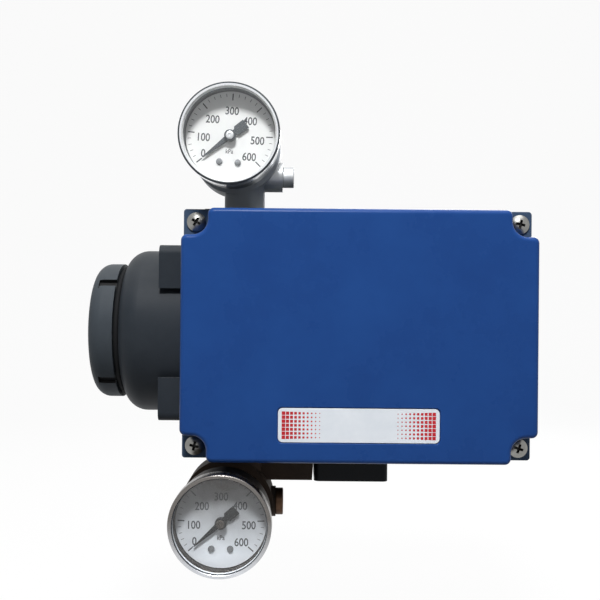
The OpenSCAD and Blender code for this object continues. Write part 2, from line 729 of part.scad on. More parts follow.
module nozzle() {
  color([0.78, 0.62, 0.34]) translate([nozzle_x, beam_y, 0]) difference() {
    union() {
      translate([0, 0, beam_z + beam_h / 2 + nozzle_gap]) cylinder(r1 = 1.3, r2 = 2.6, h = 4);
      translate([0, 0, beam_z + beam_h / 2 + nozzle_gap + 3.9]) cylinder(r = 2.6, h = relay_z - relay_h / 2 + 6 - beam_z - beam_h / 2 - nozzle_gap - 3.9);
    }
    translate([0, 0, beam_z]) cylinder(r = 0.5, h = relay_h);
  }
}

module relay_base() {
  color([0.62, 0.63, 0.65]) difference() {
    union() {
      upright(yb) linear_extrude(relay_d) translate([relay_x, relay_z]) polygon(round_rect(relay_w, relay_h, 3));
      box(relay_x, switch_x + 5, relay_y, relay_y + 16, switch_z - 5, switch_z + 5);
    }
    translate([nozzle_x, beam_y, relay_z - relay_h / 2 - 1]) cylinder(r = 2.6 + seat, h = 7);
    along_y(switch_x, switch_z, switch_r + run, relay_y + 14, relay_y - 1);
    along_y(relay_x, relay_z, 8, relay_y + 12, relay_y - 1);
    for (sx = [-1, 1], sz = [-1, 1])
      along_y(relay_x + sx * (relay_w / 2 - 5), relay_z + sz * (relay_h / 2 - 5), 1.5 + run, relay_y + 10, relay_y - 1);
  }
}

module relay_diaphragm() {
  color([0.12, 0.12, 0.12]) upright(relay_y) linear_extrude(diaphragm_t) difference() {
    translate([relay_x, relay_z]) polygon(round_rect(relay_w, relay_h, 3));
    for (sx = [-1, 1], sz = [-1, 1])
      translate([relay_x + sx * (relay_w / 2 - 5), relay_z + sz * (relay_h / 2 - 5)]) circle(r = 1.8);
  }
}

module relay_cap() {
  y = relay_y - diaphragm_t;
  color([0.66, 0.67, 0.69]) difference() {
    union() {
      upright(y) linear_extrude(6) translate([relay_x, relay_z]) polygon(round_rect(relay_w, relay_h, 3));
      along_y(relay_x, relay_z, 11, y, y - relay_cap_d);
    }
    along_y(relay_x, relay_z, 8, y + 1, y - relay_cap_d + 3);
    for (sx = [-1, 1], sz = [-1, 1])
      along_y(relay_x + sx * (relay_w / 2 - 5), relay_z + sz * (relay_h / 2 - 5), 1.8, y + 1, y - 7);
  }
}

module relay_screws() {
  y = relay_y - diaphragm_t - 6;
  color([0.75, 0.75, 0.76]) for (sx = [-1, 1], sz = [-1, 1])
    translate([relay_x + sx * (relay_w / 2 - 5), 0, relay_z + sz * (relay_h / 2 - 5)]) difference() {
      union() {
        along_y(0, 0, 2.75, y, y - 2.2);
        along_y(0, 0, 1.5, relay_y + 8, y - 1);
      }
      box(-3, 3, y - 3, y - 1.2, -0.4, 0.4);
    }
}

// Shelf from the back wall that carries the zero screw
module zero_bracket() {
  color([0.6, 0.6, 0.62]) difference() {
    box(zero_x - 8, zero_x + 8, beam_y - 9, yb, shelf_z, shelf_z + shelf_t);
    translate([zero_x, beam_y, shelf_z - 1]) cylinder(r = zero_r + run, h = shelf_t + 2);
  }
}

// Notch for a cover screw, drawn at the screw with the corner to the upper right
module corner_notch() {
  polygon(concat([[40, -notch_r]], [[40, 40], [-notch_r, 40]], arc(0, 0, notch_r, 180, 270, 8)));
}

module at_notches() {
  for (sx = [0, 1], sz = [0, 1]) mirror([sx, 0, 0]) mirror([0, sz, 0]) translate([screw_x, screw_z]) children();
}

module front_cover() {
  color([0.13, 0.26, 0.52]) difference() {
    intersection() {
      translate([0, cover_y, -rim_h / 2 - 1]) mirror([0, 1, 0]) linear_extrude(rim_h + 2)
        polygon(lid_section(rim_w, front_w, cover_d, cover_edge));
      translate([-rim_w / 2 - 1, cover_y, 0]) mirror([0, 1, 0]) rotate([90, 0, 90]) linear_extrude(rim_w + 2)
        polygon([for (p = lid_section(rim_h, front_h, cover_d, cover_edge)) [p[1], p[0]]]);
    }
    upright(seat_y) linear_extrude(cover_d) at_notches() corner_notch();
    upright(cover_y + 1) linear_extrude(cover_d - cover_wall + 1) difference() {
      square([front_w - 2 * cover_wall, front_h - 2 * cover_wall], center = true);
      at_notches() offset_notch();
    }
    at_cover_screws() along_y(0, 0, cover_screw_r + 0.2, cover_y + 1, seat_y - 1);
    upright(front_y + plate_sink) linear_extrude(5) translate([0, plate_z])
      polygon(round_rect(plate_w + 0.6, plate_h + 0.6, 2.3));
  }
}

// The notch grown by the cover wall, for the hollow of the cover
module offset_notch() {
  r = notch_r + cover_wall;
  polygon(concat([[40, -r], [40, 40], [-r, 40]], arc(0, 0, r, 180, 270, 8)));
}

module cover_screws() {
  color([0.82, 0.83, 0.84]) at_cover_screws() difference() {
    union() {
      translate([0, seat_y, 0]) rotate([90, 0, 0]) rotate_extrude()
        polygon(concat([[0, 0], [3.9, 0], [3.9, 1.1]], arc(0, -3.35, 5.95, 47, 90, 6)));
      along_y(0, 0, cover_screw_r, rim_y + screw_deep - 2, seat_y - 1);
    }
    box(-0.5, 0.5, seat_y - 4, seat_y - 1, -2.2, 2.2);
    box(-2.2, 2.2, seat_y - 4, seat_y - 1, -0.5, 0.5);
  }
}

module nameplate() {
  color([0.8, 0.81, 0.83]) upright(front_y + plate_sink) linear_extrude(plate_t) translate([0, plate_z])
    polygon(round_rect(plate_w, plate_h, 2));
}

module cap_seal() {
  color([0.06, 0.06, 0.06]) at_house() translate([0, 0, cap_0 - ring_wire - 0.1]) rotate_extrude()
    translate([neck_r + ring_wire + 0.3, 0]) circle(r = ring_wire);
}

module terminal_cap() {
  color([0.28, 0.3, 0.33]) at_house() difference() {
    rotate_extrude() polygon(concat([[0, cap_0], [cap_r, cap_0]],
      arc(cap_r - cap_edge, cap_0 + cap_l - cap_edge, cap_edge, 0, 90, 10), [[0, cap_0 + cap_l]]));
    translate([0, 0, cap_0 - 1]) cylinder(r = neck_r + run, h = cap_l - cap_wall + 1);
    for (a = [45:90:315]) rotate([0, 0, a]) translate([cap_r - 2.2, -slot_w / 2, cap_0 - 1]) cube([6, slot_w, 9]);
  }
}

module feedback_shaft() {
  color([0.72, 0.73, 0.75]) {
    along_y(shaft_x, shaft_z, shaft_r, lever_y, shaft_in);
    along_y(shaft_x, shaft_z, bush_r - 0.5, lever_y, lever_y - 3);
    along_y(shaft_x, shaft_z, bush_r, collar_y + 2, collar_y);
    along_y(shaft_x, shaft_z, stud_r, lever_y + lever_t + 10, lever_y - 1);
  }
}

module feedback_lever() {
  color([0.7, 0.71, 0.73]) translate([shaft_x, lever_y + lever_t, shaft_z]) rotate([90, 0, 0])
    linear_extrude(lever_t) difference() {
      polygon(round_bar(0, lever_l - lever_w / 2, lever_w));
      polygon(round_bar(26, lever_l - lever_w / 2 - 2, lever_slot));
      circle(r = stud_r + seat);
    }
}

module lever_nut() {
  y = lever_y + lever_t;
  color([0.75, 0.75, 0.76]) difference() {
    union() {
      along_y(shaft_x, shaft_z, 6.2, y + 1.6, y);
      translate([shaft_x, y + 6.6, shaft_z]) rotate([90, 0, 0]) cylinder(r = 5.77, h = 5.5, $fn = 6);
    }
    along_y(shaft_x, shaft_z, stud_r + seat, y + 8, y - 1);
  }
}

module feedback_arm() {
  color([0.64, 0.65, 0.67]) difference() {
    union() {
      along_y(shaft_x, shaft_z, hub_r, beam_y + 6, beam_y - 6);
      box(shaft_x, shaft_x + arm_l, beam_y - arm_t / 2, beam_y + arm_t / 2, shaft_z - arm_h / 2, shaft_z + arm_h / 2);
    }
    along_y(shaft_x, shaft_z, shaft_r + seat, beam_y + 7, beam_y - 8);
  }
}

module feedback_spring() {
  z0 = shaft_z + arm_h / 2;
  color([0.7, 0.7, 0.7]) translate([spring_x, beam_y, z0]) coil_spring(spring_r, beam_z - beam_h / 2 - z0);
}

// Beam with the armature at its left end and the flapper over its right half
module beam() {
  color([0.68, 0.69, 0.71]) difference() {
    union() {
      box(beam_x0, beam_x1, beam_y - beam_t / 2, beam_y + beam_t / 2, beam_z - beam_h / 2, beam_z + beam_h / 2);
      along_y(pivot_x, beam_z, pivot_r + 2.2, beam_y + 6.6, beam_y - 6.6);
    }
    along_y(pivot_x, beam_z, pivot_r + run, beam_y + 8, beam_y - 8);
    box(beam_x0 - 1, pivot_x - pole_back, beam_y - beam_t, beam_y - 3, beam_z - 5, beam_z + 5);
    box(beam_x0 - 1, pivot_x - pole_back, beam_y + 3, beam_y + beam_t, beam_z - 5, beam_z + 5);
  }
}

module zero_screw() {
  color([0.76, 0.6, 0.32]) {
    translate([zero_x, beam_y, shelf_z - 0.4 - wheel_t]) cylinder(r = wheel_r, h = wheel_t);
    translate([zero_x, beam_y, shelf_z - 1]) cylinder(r = zero_r, h = nut_z + nut_h - nut_top - nut_travel - 0.2 - shelf_z + 1);
    translate([zero_x, beam_y, shelf_z + shelf_t + 0.4]) cylinder(r = zero_r + 1.5, h = 1.6);
  }
}

module zero_nut() {
  color([0.66, 0.66, 0.68]) difference() {
    translate([zero_x, beam_y, nut_z]) cylinder(r = nut_r, h = nut_h);
    translate([zero_x, beam_y, nut_z - 1]) cylinder(r = zero_r + run, h = nut_h - nut_top + 1);
  }
}

module zero_spring() {
  z0 = nut_z + nut_h;
  color([0.7, 0.7, 0.7]) translate([zero_x, beam_y, z0]) coil_spring(spring_r, beam_z - beam_h / 2 - z0);
}

module auto_manual_switch() {
  color([0.8, 0.66, 0.36]) difference() {
    union() {
      along_y(switch_x, switch_z, switch_r, relay_y + 13, relay_y - 1);
      along_y(switch_x, switch_z, switch_head, relay_y - 0.4, relay_y - 4.4);
    }
    box(switch_x - 5, switch_x + 5, relay_y - 6, relay_y - 2.8, switch_z - 0.6, switch_z + 0.6);
  }
}

case();
cover_gasket();
shaft_bushes();
shaft_seal();
air_block();
terminal_housing();
housing_seal();
housing_bolts();
terminal_base();
terminal_screws();
upper_gauge_block();
upper_block_plug();
upper_gauge_socket();
upper_gauge_case();
upper_gauge_ring();
upper_gauge_lens();
upper_gauge_dial();
upper_movement();
upper_bourdon_tube();
lower_gauge_block();
lower_block_plug();
lower_gauge_socket();
lower_gauge_case();
lower_gauge_ring();
lower_gauge_lens();
lower_gauge_dial();
lower_movement();
lower_bourdon_tube();
pivot_bracket();
pivot_pin();
motor_yoke();
motor_magnets();
coil_bobbin();
coil_winding();
nozzle();
relay_base();
relay_diaphragm();
relay_cap();
relay_screws();
zero_bracket();
front_cover();
cover_screws();
nameplate();
cap_seal();
terminal_cap();
feedback_shaft();
feedback_lever();
lever_nut();
feedback_arm();
feedback_spring();
beam();
upper_pointer();
upper_sector();
lower_pointer();
lower_sector();
zero_screw();
zero_nut();
zero_spring();
auto_manual_switch();
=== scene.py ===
# A pneumatic valve positioner, dressed piece by piece in the order in which it is put together.
import json
import math

import bmesh
import bpy
from mathutils import Matrix, Vector


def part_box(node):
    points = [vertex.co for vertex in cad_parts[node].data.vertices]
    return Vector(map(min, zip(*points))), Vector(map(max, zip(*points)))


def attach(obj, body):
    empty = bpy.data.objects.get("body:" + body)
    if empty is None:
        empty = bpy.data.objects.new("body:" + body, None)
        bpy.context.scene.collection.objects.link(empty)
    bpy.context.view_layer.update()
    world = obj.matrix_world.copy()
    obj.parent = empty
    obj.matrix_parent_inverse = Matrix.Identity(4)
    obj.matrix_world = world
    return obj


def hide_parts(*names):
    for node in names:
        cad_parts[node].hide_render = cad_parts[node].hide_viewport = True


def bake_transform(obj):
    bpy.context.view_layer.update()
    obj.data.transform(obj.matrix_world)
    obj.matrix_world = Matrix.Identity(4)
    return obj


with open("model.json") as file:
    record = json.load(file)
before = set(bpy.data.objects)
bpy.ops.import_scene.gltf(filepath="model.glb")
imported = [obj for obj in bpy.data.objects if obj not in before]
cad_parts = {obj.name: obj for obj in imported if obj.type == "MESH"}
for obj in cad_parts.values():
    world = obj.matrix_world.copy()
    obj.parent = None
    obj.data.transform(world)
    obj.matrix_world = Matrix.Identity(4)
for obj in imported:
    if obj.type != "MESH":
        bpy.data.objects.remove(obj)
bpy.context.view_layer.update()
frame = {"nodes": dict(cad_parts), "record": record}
body_of = {n: b for b, members in frame["record"]["behaviour"]["bodies"].items() for n in members}


# Case
# A deep rectangular tray, die cast in aluminium and sprayed dark grey.
# Everything else is screwed to it, inside or out; its edges are broken by hand.
MM = 0.001
mount_x = 60.0
mount_z = 40.0
mount_floor = -11.4
case_dust = (150, 148, 142)


def srgb(colour):
    parts = [c / 255 for c in colour]
    return tuple(c / 12.92 if c < 0.04045 else ((c + 0.055) / 1.055) ** 2.4 for c in parts) + (1.0,)


def put(tree, kind, sockets, **settings):
    made = tree.nodes.new(kind)
    for key, value in settings.items():
        setattr(made, key, value)
    for key, value in sockets.items():
        if isinstance(value, bpy.types.NodeSocket):
            tree.links.new(value, made.inputs[key])
        else:
            made.inputs[key].default_value = value
    return made


def noise(tree, vector, scale, detail, roughness=0.5):
    sockets = {"Vector": vector, "Scale": scale, "Detail": detail, "Roughness": roughness}
    return put(tree, "ShaderNodeTexNoise", sockets).outputs["Fac"]


def ranged(tree, value, low, high, first=0.0, last=1.0):
    sockets = {"Value": value, "From Min": low, "From Max": high, "To Min": first, "To Max": last}
    return put(tree, "ShaderNodeMapRange", sockets).outputs["Result"]


def reckon(tree, operation, *terms, clamp=False):
    made = put(tree, "ShaderNodeMath", dict(enumerate(terms)), operation=operation, use_clamp=clamp)
    return made.outputs["Value"]


def mixed(tree, factor, first, second):
    return put(tree, "ShaderNodeMix", {0: factor, 6: first, 7: second}, data_type="RGBA").outputs[2]


def effect_group(name, inputs, outputs):
    group = bpy.data.node_groups.new(name, "ShaderNodeTree")
    for label, value in inputs:
        kind = "NodeSocketVector" if isinstance(value, tuple) else "NodeSocketFloat"
        group.interface.new_socket(label, in_out="INPUT", socket_type=kind).default_value = value
    for label in outputs:
        group.interface.new_socket(label, in_out="OUTPUT", socket_type="NodeSocketFloat")
    return group, group.nodes.new("NodeGroupInput").outputs, group.nodes.new("NodeGroupOutput").inputs


# Skin of a casting under paint: a fine orange peel over slow dents, and a slow change of tone
cast_grain, given, result = effect_group(
    "cast grain", [("Peel Scale", 1400.0), ("Dent Scale", 160.0), ("Dents", 0.4)], ["Height", "Tone"])
where = put(cast_grain, "ShaderNodeTexCoord", {}).outputs["Object"]
peel = noise(cast_grain, where, given["Peel Scale"], 3.0, 0.6)
dent = noise(cast_grain, where, given["Dent Scale"], 2.0)
cloud = noise(cast_grain, where, 34.0, 5.0, 0.62)
relief = reckon(cast_grain, "MULTIPLY_ADD", dent, given["Dents"], peel)
cast_grain.links.new(relief, result["Height"])
cast_grain.links.new(ranged(cast_grain, cloud, 0.3, 0.7), result["Tone"])

# Paint rubbed off the broken edges, in patches; there the smooth normal leaves that of the facet
edge_wear, given, result = effect_group(
    "edge wear", [("Amount", 0.5), ("Patch Scale", 260.0)], ["Worn"])
where = put(edge_wear, "ShaderNodeTexCoord", {}).outputs["Object"]
shape = put(edge_wear, "ShaderNodeNewGeometry", {}).outputs
level = put(edge_wear, "ShaderNodeVectorMath", {0: shape["Normal"], 1: shape["True Normal"]},
            operation="DOT_PRODUCT")
ridge = ranged(edge_wear, level.outputs["Value"], 0.996, 0.97)
patch = ranged(edge_wear, noise(edge_wear, where, given["Patch Scale"], 6.0, 0.7), 0.5, 0.66)
both = reckon(edge_wear, "MULTIPLY", ridge, patch)
worn = reckon(edge_wear, "MULTIPLY", both, given["Amount"], clamp=True)
edge_wear.links.new(worn, result["Worn"])

# Workshop dust that lies on what faces up
settled_dust, given, result = effect_group(
    "settled dust", [("Amount", 0.3), ("Patch Scale", 90.0)], ["Dust"])
where = put(settled_dust, "ShaderNodeTexCoord", {}).outputs["Object"]
shape = put(settled_dust, "ShaderNodeNewGeometry", {}).outputs
facing = put(settled_dust, "ShaderNodeSeparateXYZ", {"Vector": shape["Normal"]})
upward = ranged(settled_dust, facing.outputs["Z"], 0.25, 0.95)
patch = noise(settled_dust, where, given["Patch Scale"], 8.0, 0.75)
thick = reckon(settled_dust, "MULTIPLY", upward, patch)
lying = reckon(settled_dust, "MULTIPLY", thick, given["Amount"], clamp=True)
settled_dust.links.new(lying, result["Dust"])


def new_finish(name):
    finish = bpy.data.materials.new(name)
    finish.use_nodes = True
    return finish, finish.node_tree, finish.node_tree.nodes["Principled BSDF"]


def coat(tree, shader, colour, rough, height, strength, depth):
    bump = put(tree, "ShaderNodeBump", {"Height": height, "Strength": strength, "Distance": depth * MM})
    for label, value in (("Base Color", colour), ("Roughness", rough), ("Normal", bump.outputs["Normal"])):
        tree.links.new(value, shader.inputs[label])


def painted_casting(name, deep, light, bare, rough=0.5, peel_scale=1500.0, peel_depth=0.05, wear=0.45,
                    dust=0.12, gloss=0.09):
    finish, tree, paint = new_finish(name)
    grain = put(tree, "ShaderNodeGroup", {"Peel Scale": peel_scale}, node_tree=cast_grain).outputs
    rubbed = put(tree, "ShaderNodeGroup", {"Amount": wear}, node_tree=edge_wear).outputs["Worn"]
    dusty = put(tree, "ShaderNodeGroup", {"Amount": dust}, node_tree=settled_dust).outputs["Dust"]
    sprayed = mixed(tree, grain["Tone"], srgb(deep), srgb(light))
    colour = mixed(tree, dusty, mixed(tree, rubbed, sprayed, srgb(bare)), srgb(case_dust))
    sheen = ranged(tree, grain["Tone"], 0.0, 1.0, rough - 0.05, rough + 0.06)
    coat(tree, paint, colour, sheen, grain["Height"], 0.5, peel_depth)
    paint.inputs["Specular IOR Level"].default_value = gloss
    return finish


def stand(name, data):
    made = bpy.data.objects.new(name, data)
    bpy.context.scene.collection.objects.link(made)
    return made


def as_mesh(name, bm):
    mesh = bpy.data.meshes.new(name)
    bm.to_mesh(mesh)
    bm.free()
    return mesh


def even_faces(piece, weight):
    level = piece.modifiers.new("even faces", "WEIGHTED_NORMAL")
    level.weight = weight
    level.keep_sharp = True


def dress(name, mesh, finish, body, nodes, edge=0.0, facet=32.0):
    mesh.polygons.foreach_set("use_smooth", [True] * len(mesh.polygons))
    mesh.set_sharp_from_angle(angle=math.radians(facet))
    if finish:
        mesh.materials.append(finish)
    piece = stand(name, mesh)
    if edge:
        broken = piece.modifiers.new("broken edges", "BEVEL")
        broken.width = edge * MM
        broken.segments = 2
        broken.limit_method = "ANGLE"
        broken.angle_limit = math.radians(facet)
        even_faces(piece, 80)
    if body:
        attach(piece, body)
    if nodes:
        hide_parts(*nodes)
    return piece


# A solid of the frame with its loose triangles merged, its edges broken and its finish put on
def worked_solid(node, finish, edge=0.3, soft=0.0, is_soft=None, inner=None, is_inner=None):
    bm = bmesh.new()
    bm.from_mesh(frame["nodes"][node].data)
    bmesh.ops.remove_doubles(bm, verts=bm.verts, dist=0.002 * MM)
    bmesh.ops.dissolve_limit(bm, angle_limit=math.radians(0.6), verts=bm.verts, edges=bm.edges)
    if soft:
        chosen = bm.edges.layers.float.new("bevel_weight_edge")
        for line in bm.edges:
            line[chosen] = float(is_soft(line.verts[0].co / MM, line.verts[1].co / MM))
    if inner:
        for face in bm.faces:
            face.material_index = int(is_inner(face.calc_center_median() / MM))
    name = node + "_finished"
    piece = dress(name, as_mesh(name, bm), finish, body_of[node], [node], edge)
    if inner:
        piece.data.materials.append(inner)
    if soft:
        rounded = piece.modifiers.new("rounded edges", "BEVEL")
        rounded.width = soft * MM
        rounded.segments = 4
        rounded.limit_method = "WEIGHT"
        piece.modifiers.move(len(piece.modifiers) - 1, 0)
    return piece


casting_paint = painted_casting("casting_paint", (39, 44, 50), (48, 53, 59), (112, 114, 116))
worked_solid("case", casting_paint, 0.8)


def at(x, y, z):
    return Matrix.Translation((x * MM, y * MM, z * MM))


def skin(bm, rings):
    for low, high in zip(rings, rings[1:]):
        for k in range(len(low)):
            bm.faces.new((low[k - 1], low[k], high[k], high[k - 1]))


def outward(bm):
    bmesh.ops.recalc_face_normals(bm, faces=bm.faces)
    return bm


# A thread as a sleeve of its own: a negative depth cuts it into a bore
def screw_thread(name, place, finish, radius, depth, pitch, length, body="case"):
    steps = 72
    rows_a_turn = 8
    rows = round(length / pitch * rows_a_turn)
    back = radius - math.copysign(0.5, depth)
    bm = bmesh.new()
    rings = []
    for row in range(rows + 3):
        height = length * min(row, rows) / rows if row < rows + 2 else 0.0
        fade = min(1.0, row / rows_a_turn, max(rows - row, 0) / rows_a_turn)
        ring = []
        for k in range(steps):
            turn = 2 * math.pi * k / steps
            crest = abs(2 * ((height / pitch - k / steps) % 1.0) - 1)
            out = (radius + depth * crest * fade if row <= rows else back) * MM
            spot = Vector((out * math.cos(turn), out * math.sin(turn), height * MM))
            ring.append(bm.verts.new(place @ spot))
        rings.append(ring)
    skin(bm, rings + rings[:1])
    dress(name, as_mesh(name, outward(bm)), finish, body, [], facet=70.0)


to_back = Matrix.Rotation(-math.pi / 2, 4, "X")
for x in (-mount_x, mount_x):
    for z in (-mount_z, mount_z):
        screw_thread("mount_thread_%d%d" % (x > 0, z > 0), at(x, mount_floor, z) @ to_back, casting_paint,
                     radius=3.38, depth=-0.3, pitch=1.25, length=11.0)


# Cover gasket
# A flat ring of black rubber sheet, cut with a die.
# It lies on the rim of the case and is pressed by the cover.
rubber_dust = (140, 138, 132)


def moulded(name, dark, pale, rough, grain_scale, depth, dust=0.25, sheen=0.5):
    finish, tree, shader = new_finish(name)
    grain = put(tree, "ShaderNodeGroup", {"Peel Scale": grain_scale}, node_tree=cast_grain).outputs
    dusty = put(tree, "ShaderNodeGroup", {"Amount": dust}, node_tree=settled_dust).outputs["Dust"]
    colour = mixed(tree, dusty, mixed(tree, grain["Tone"], srgb(dark), srgb(pale)), srgb(rubber_dust))
    gloss = ranged(tree, grain["Tone"], 0.0, 1.0, rough - 0.07, rough + 0.07)
    coat(tree, shader, colour, gloss, grain["Height"], 0.4, depth)
    shader.inputs["Specular IOR Level"].default_value = sheen
    return finish


black_rubber = moulded("black_rubber", (20, 20, 21), (32, 32, 33), rough=0.72, grain_scale=2600.0,
                       depth=0.03)
worked_solid("cover_gasket", black_rubber, 0.15)


# Shaft bushes and seal
# Two turned bronze bushes pressed into the back boss, with a rubber seal between them.
# They carry the feedback shaft.
tool_marks, given, result = effect_group(
    "tool marks", [("Stretch", (1.0, 1.0, 1.0)), ("Scale", 900.0)], ["Streak", "Tone"])
where = put(tool_marks, "ShaderNodeTexCoord", {}).outputs["Object"]
drawn = put(tool_marks, "ShaderNodeVectorMath", {0: where, 1: given["Stretch"]}, operation="MULTIPLY")
streak = noise(tool_marks, drawn.outputs["Vector"], given["Scale"], 5.0, 0.7)
slow = noise(tool_marks, where, 120.0, 5.0, 0.65)
tool_marks.links.new(streak, result["Streak"])
tool_marks.links.new(ranged(tool_marks, slow, 0.32, 0.7), result["Tone"])


def bare_metal(name, dull, bright, rough, stretch=(1, 1, 1), mark_scale=500.0, depth=0.01):
    finish, tree, shader = new_finish(name)
    shader.inputs["Metallic"].default_value = 1.0
    scales = {"Stretch": stretch, "Scale": mark_scale}
    marks = put(tree, "ShaderNodeGroup", scales, node_tree=tool_marks).outputs
    colour = mixed(tree, marks["Tone"], srgb(dull), srgb(bright))
    gloss = ranged(tree, marks["Streak"], 0.3, 0.7, rough[0], rough[1])
    coat(tree, shader, colour, gloss, marks["Streak"], 0.3, depth)
    return finish


bronze = bare_metal("turned_bronze", (150, 112, 62), (186, 145, 84), rough=(0.28, 0.45), stretch=(1, 9, 1),
                    mark_scale=700.0)
worked_solid("shaft_bushes", bronze, 0.3)
worked_solid("shaft_seal", black_rubber, 0.2)


# Feedback shaft, lever and nut
# A ground steel shaft with a threaded end; the slotted lever is punched from plate and zinc plated.
# The valve stem moves the lever, and the arm inside passes the turn on to the spring.
stud_spot = (0.0, 15.3, -14.0)
ground_steel = bare_metal("ground_steel", (150, 152, 156), (188, 190, 193), rough=(0.22, 0.38),
                          stretch=(1, 8, 1), mark_scale=800.0, depth=0.008)
zinc_plate = bare_metal("zinc_plate", (168, 172, 176), (206, 208, 210), rough=(0.26, 0.42),
                        mark_scale=420.0)
mill_alloy = bare_metal("milled_alloy", (160, 162, 165), (192, 194, 196), rough=(0.32, 0.5),
                        stretch=(1, 1, 7), mark_scale=600.0, depth=0.012)
worked_solid("feedback_shaft", ground_steel, 0.35)
worked_solid("feedback_lever", zinc_plate, 0.4)
worked_solid("lever_nut", zinc_plate, 0.3)
worked_solid("feedback_arm", mill_alloy, 0.3)
screw_thread("stud_thread", at(*stud_spot) @ to_back, ground_steel,
             radius=2.92, depth=0.16, pitch=1.0, length=9.4, body="feedback")


# Air block
# A black painted aluminium block under the case with the two tapped air ports in its lower face.
# It is screwed up from inside the case.
port_y = -38.5
port_floor = -70.3
black_paint = painted_casting("black_paint", (14, 16, 19), (22, 25, 29), (84, 84, 84), wear=0.5, gloss=0.12)
worked_solid("air_block", black_paint, 0.5)
for port_x in (-9.0, 8.0):
    screw_thread("port_thread_%d" % (port_x > 0), at(port_x, port_y, port_floor), black_paint,
                 radius=5.72, depth=-0.45, pitch=1.34, length=11.0)


# Terminal housing
# A domed chamber with four corner lugs cast in one piece, painted dark grey, held by socket head bolts.
# The cable comes in by the boss at the back.
house_x = -75.5
house_y = -39.5
lug_front = -88.3
dome_r = 38.7
bolt_y = 29.5
bolt_z = 33.5
bolt_seat_r = 4.9
neck_start = 35.2
conduit_spot = (-88.9, -6.2, 0.0)
house = at(house_x, house_y, 0) @ Matrix.Rotation(-math.pi / 2, 4, "Y")


def from_axis(spot):
    return math.hypot(spot.y - house_y, spot.z)


def lug_edge(first, second):
    for spot in (first, second):
        to_bolt = math.hypot(abs(spot.y - house_y) - bolt_y, abs(spot.z) - bolt_z)
        if spot.x > lug_front or from_axis(spot) < dome_r or to_bolt < bolt_seat_r:
            return False
    return True


worked_solid("terminal_housing", casting_paint, 0.4, soft=1.3, is_soft=lug_edge)
screw_thread("neck_thread", house @ at(0, 0, neck_start), casting_paint,
             radius=28.0, depth=0.3, pitch=2.0, length=7.0)
screw_thread("conduit_thread", at(*conduit_spot) @ to_back, casting_paint,
             radius=9.3, depth=-0.55, pitch=1.5, length=14.0)
worked_solid("housing_seal", black_rubber, 0.2)
worked_solid("housing_bolts", ground_steel, 0.3)


# Terminal strip
# Three barrier terminals in black moulded resin, each with a plated brass screw and a square clamp.
# The signal wires are clamped here.
black_resin = moulded("black_resin", (22, 22, 24), (34, 34, 36), rough=0.42, grain_scale=1800.0, depth=0.02)
plated_brass = bare_metal("plated_brass", (176, 170, 150), (206, 200, 182), rough=(0.25, 0.4))
worked_solid("terminal_base", black_resin, 0.35)
worked_solid("terminal_screws", plated_brass, 0.25)


# Terminal cap
# A screwed cap, cast as the housing is in a lighter copy of its grey paint as painted light, with four
# wrench slots round its rim painted dark as painted shade.
# A rubber ring seals it against the dome.
slot_along = (34.9, 42.9)
slot_out = (29.4, 31.95)
slot_half = 2.6
seal_rubber = moulded("seal_rubber", (20, 21, 23), (28, 29, 31), rough=0.8, grain_scale=2600.0, depth=0.03,
                      dust=0.0, sheen=0.15)
# The cap's paint is a lighter copy of the housing's grey: painted light on the cap's left- and front-facing
# sides.
cap_lit_paint = painted_casting("cap_lit_paint", (54, 60, 66), (64, 70, 76), (120, 122, 124), rough=0.52)
# The wrench slots' faces are painted near-black: painted shade in the slots.
slot_shade_paint = moulded("slot_shade_paint", (18, 19, 21), (28, 29, 32), rough=0.75, grain_scale=1200.0, depth=0.03,
                     dust=0.1, sheen=0.2)


def in_slot(spot):
    out = from_axis(spot)
    turn = math.atan2(spot.z, spot.y - house_y) % (math.pi / 2) - math.pi / 4
    on_rim = slot_along[0] < house_x - spot.x < slot_along[1] and slot_out[0] < out < slot_out[1]
    return on_rim and abs(out * math.sin(turn)) < slot_half


worked_solid("cap_seal", seal_rubber, 0.0)
worked_solid("terminal_cap", cap_lit_paint, 0.5, inner=slot_shade_paint, is_inner=in_slot)


# Gauge blocks
# Two cast blocks that carry the gauges; each has a round head, a neck and a side port with a plug.
# The upper one is painted grey with a bare alloy port, brighter partly as painted light where the gauge
# shades it, and the lower one is brown with old grime.
port_start = -39.5
bar_bottom = -60.0
brass = bare_metal("yellow_brass", (168, 136, 72), (200, 168, 100), rough=(0.24, 0.4), stretch=(1, 6, 1),
                   mark_scale=700.0)
dull_bronze = bare_metal("dull_bronze", (66, 50, 42), (98, 76, 60), rough=(0.45, 0.65), mark_scale=400.0,
                         depth=0.02)
block_paint = painted_casting("block_paint", (140, 146, 152), (157, 162, 167), (184, 186, 188), rough=0.48,
                              peel_scale=1300.0, wear=0.5, dust=0.2, gloss=0.15)
cast_alloy = bare_metal("cast_alloy", (168, 170, 172), (196, 198, 199), rough=(0.45, 0.62),
                        mark_scale=400.0, depth=0.02)
soiled_paint = painted_casting("soiled_paint", (54, 46, 41), (80, 67, 58), (122, 102, 86), rough=0.6,
                               peel_scale=900.0, peel_depth=0.07, wear=0.6, dust=0.25, gloss=0.1)


# The port faces take bright bare alloy: partly the port's own metal, partly painted light where the gauge
# shades it.
def on_port(spot):
    return spot.x > port_start


worked_solid("upper_gauge_block", block_paint, 0.6, inner=cast_alloy, is_inner=on_port)
lower_block = worked_solid("lower_gauge_block", soiled_paint, 0.6)

# The upper edge of its bar is driven home against the air block
bar_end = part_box("lower_gauge_block")[1][0]
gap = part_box("air_block")[0][0] - bar_end
for corner in lower_block.data.vertices:
    if corner.co.x > bar_end - 0.1 * MM and corner.co.z > bar_bottom * MM:
        corner.co.x += gap
worked_solid("upper_block_plug", cast_alloy, 0.4)
worked_solid("lower_block_plug", dull_bronze, 0.4)
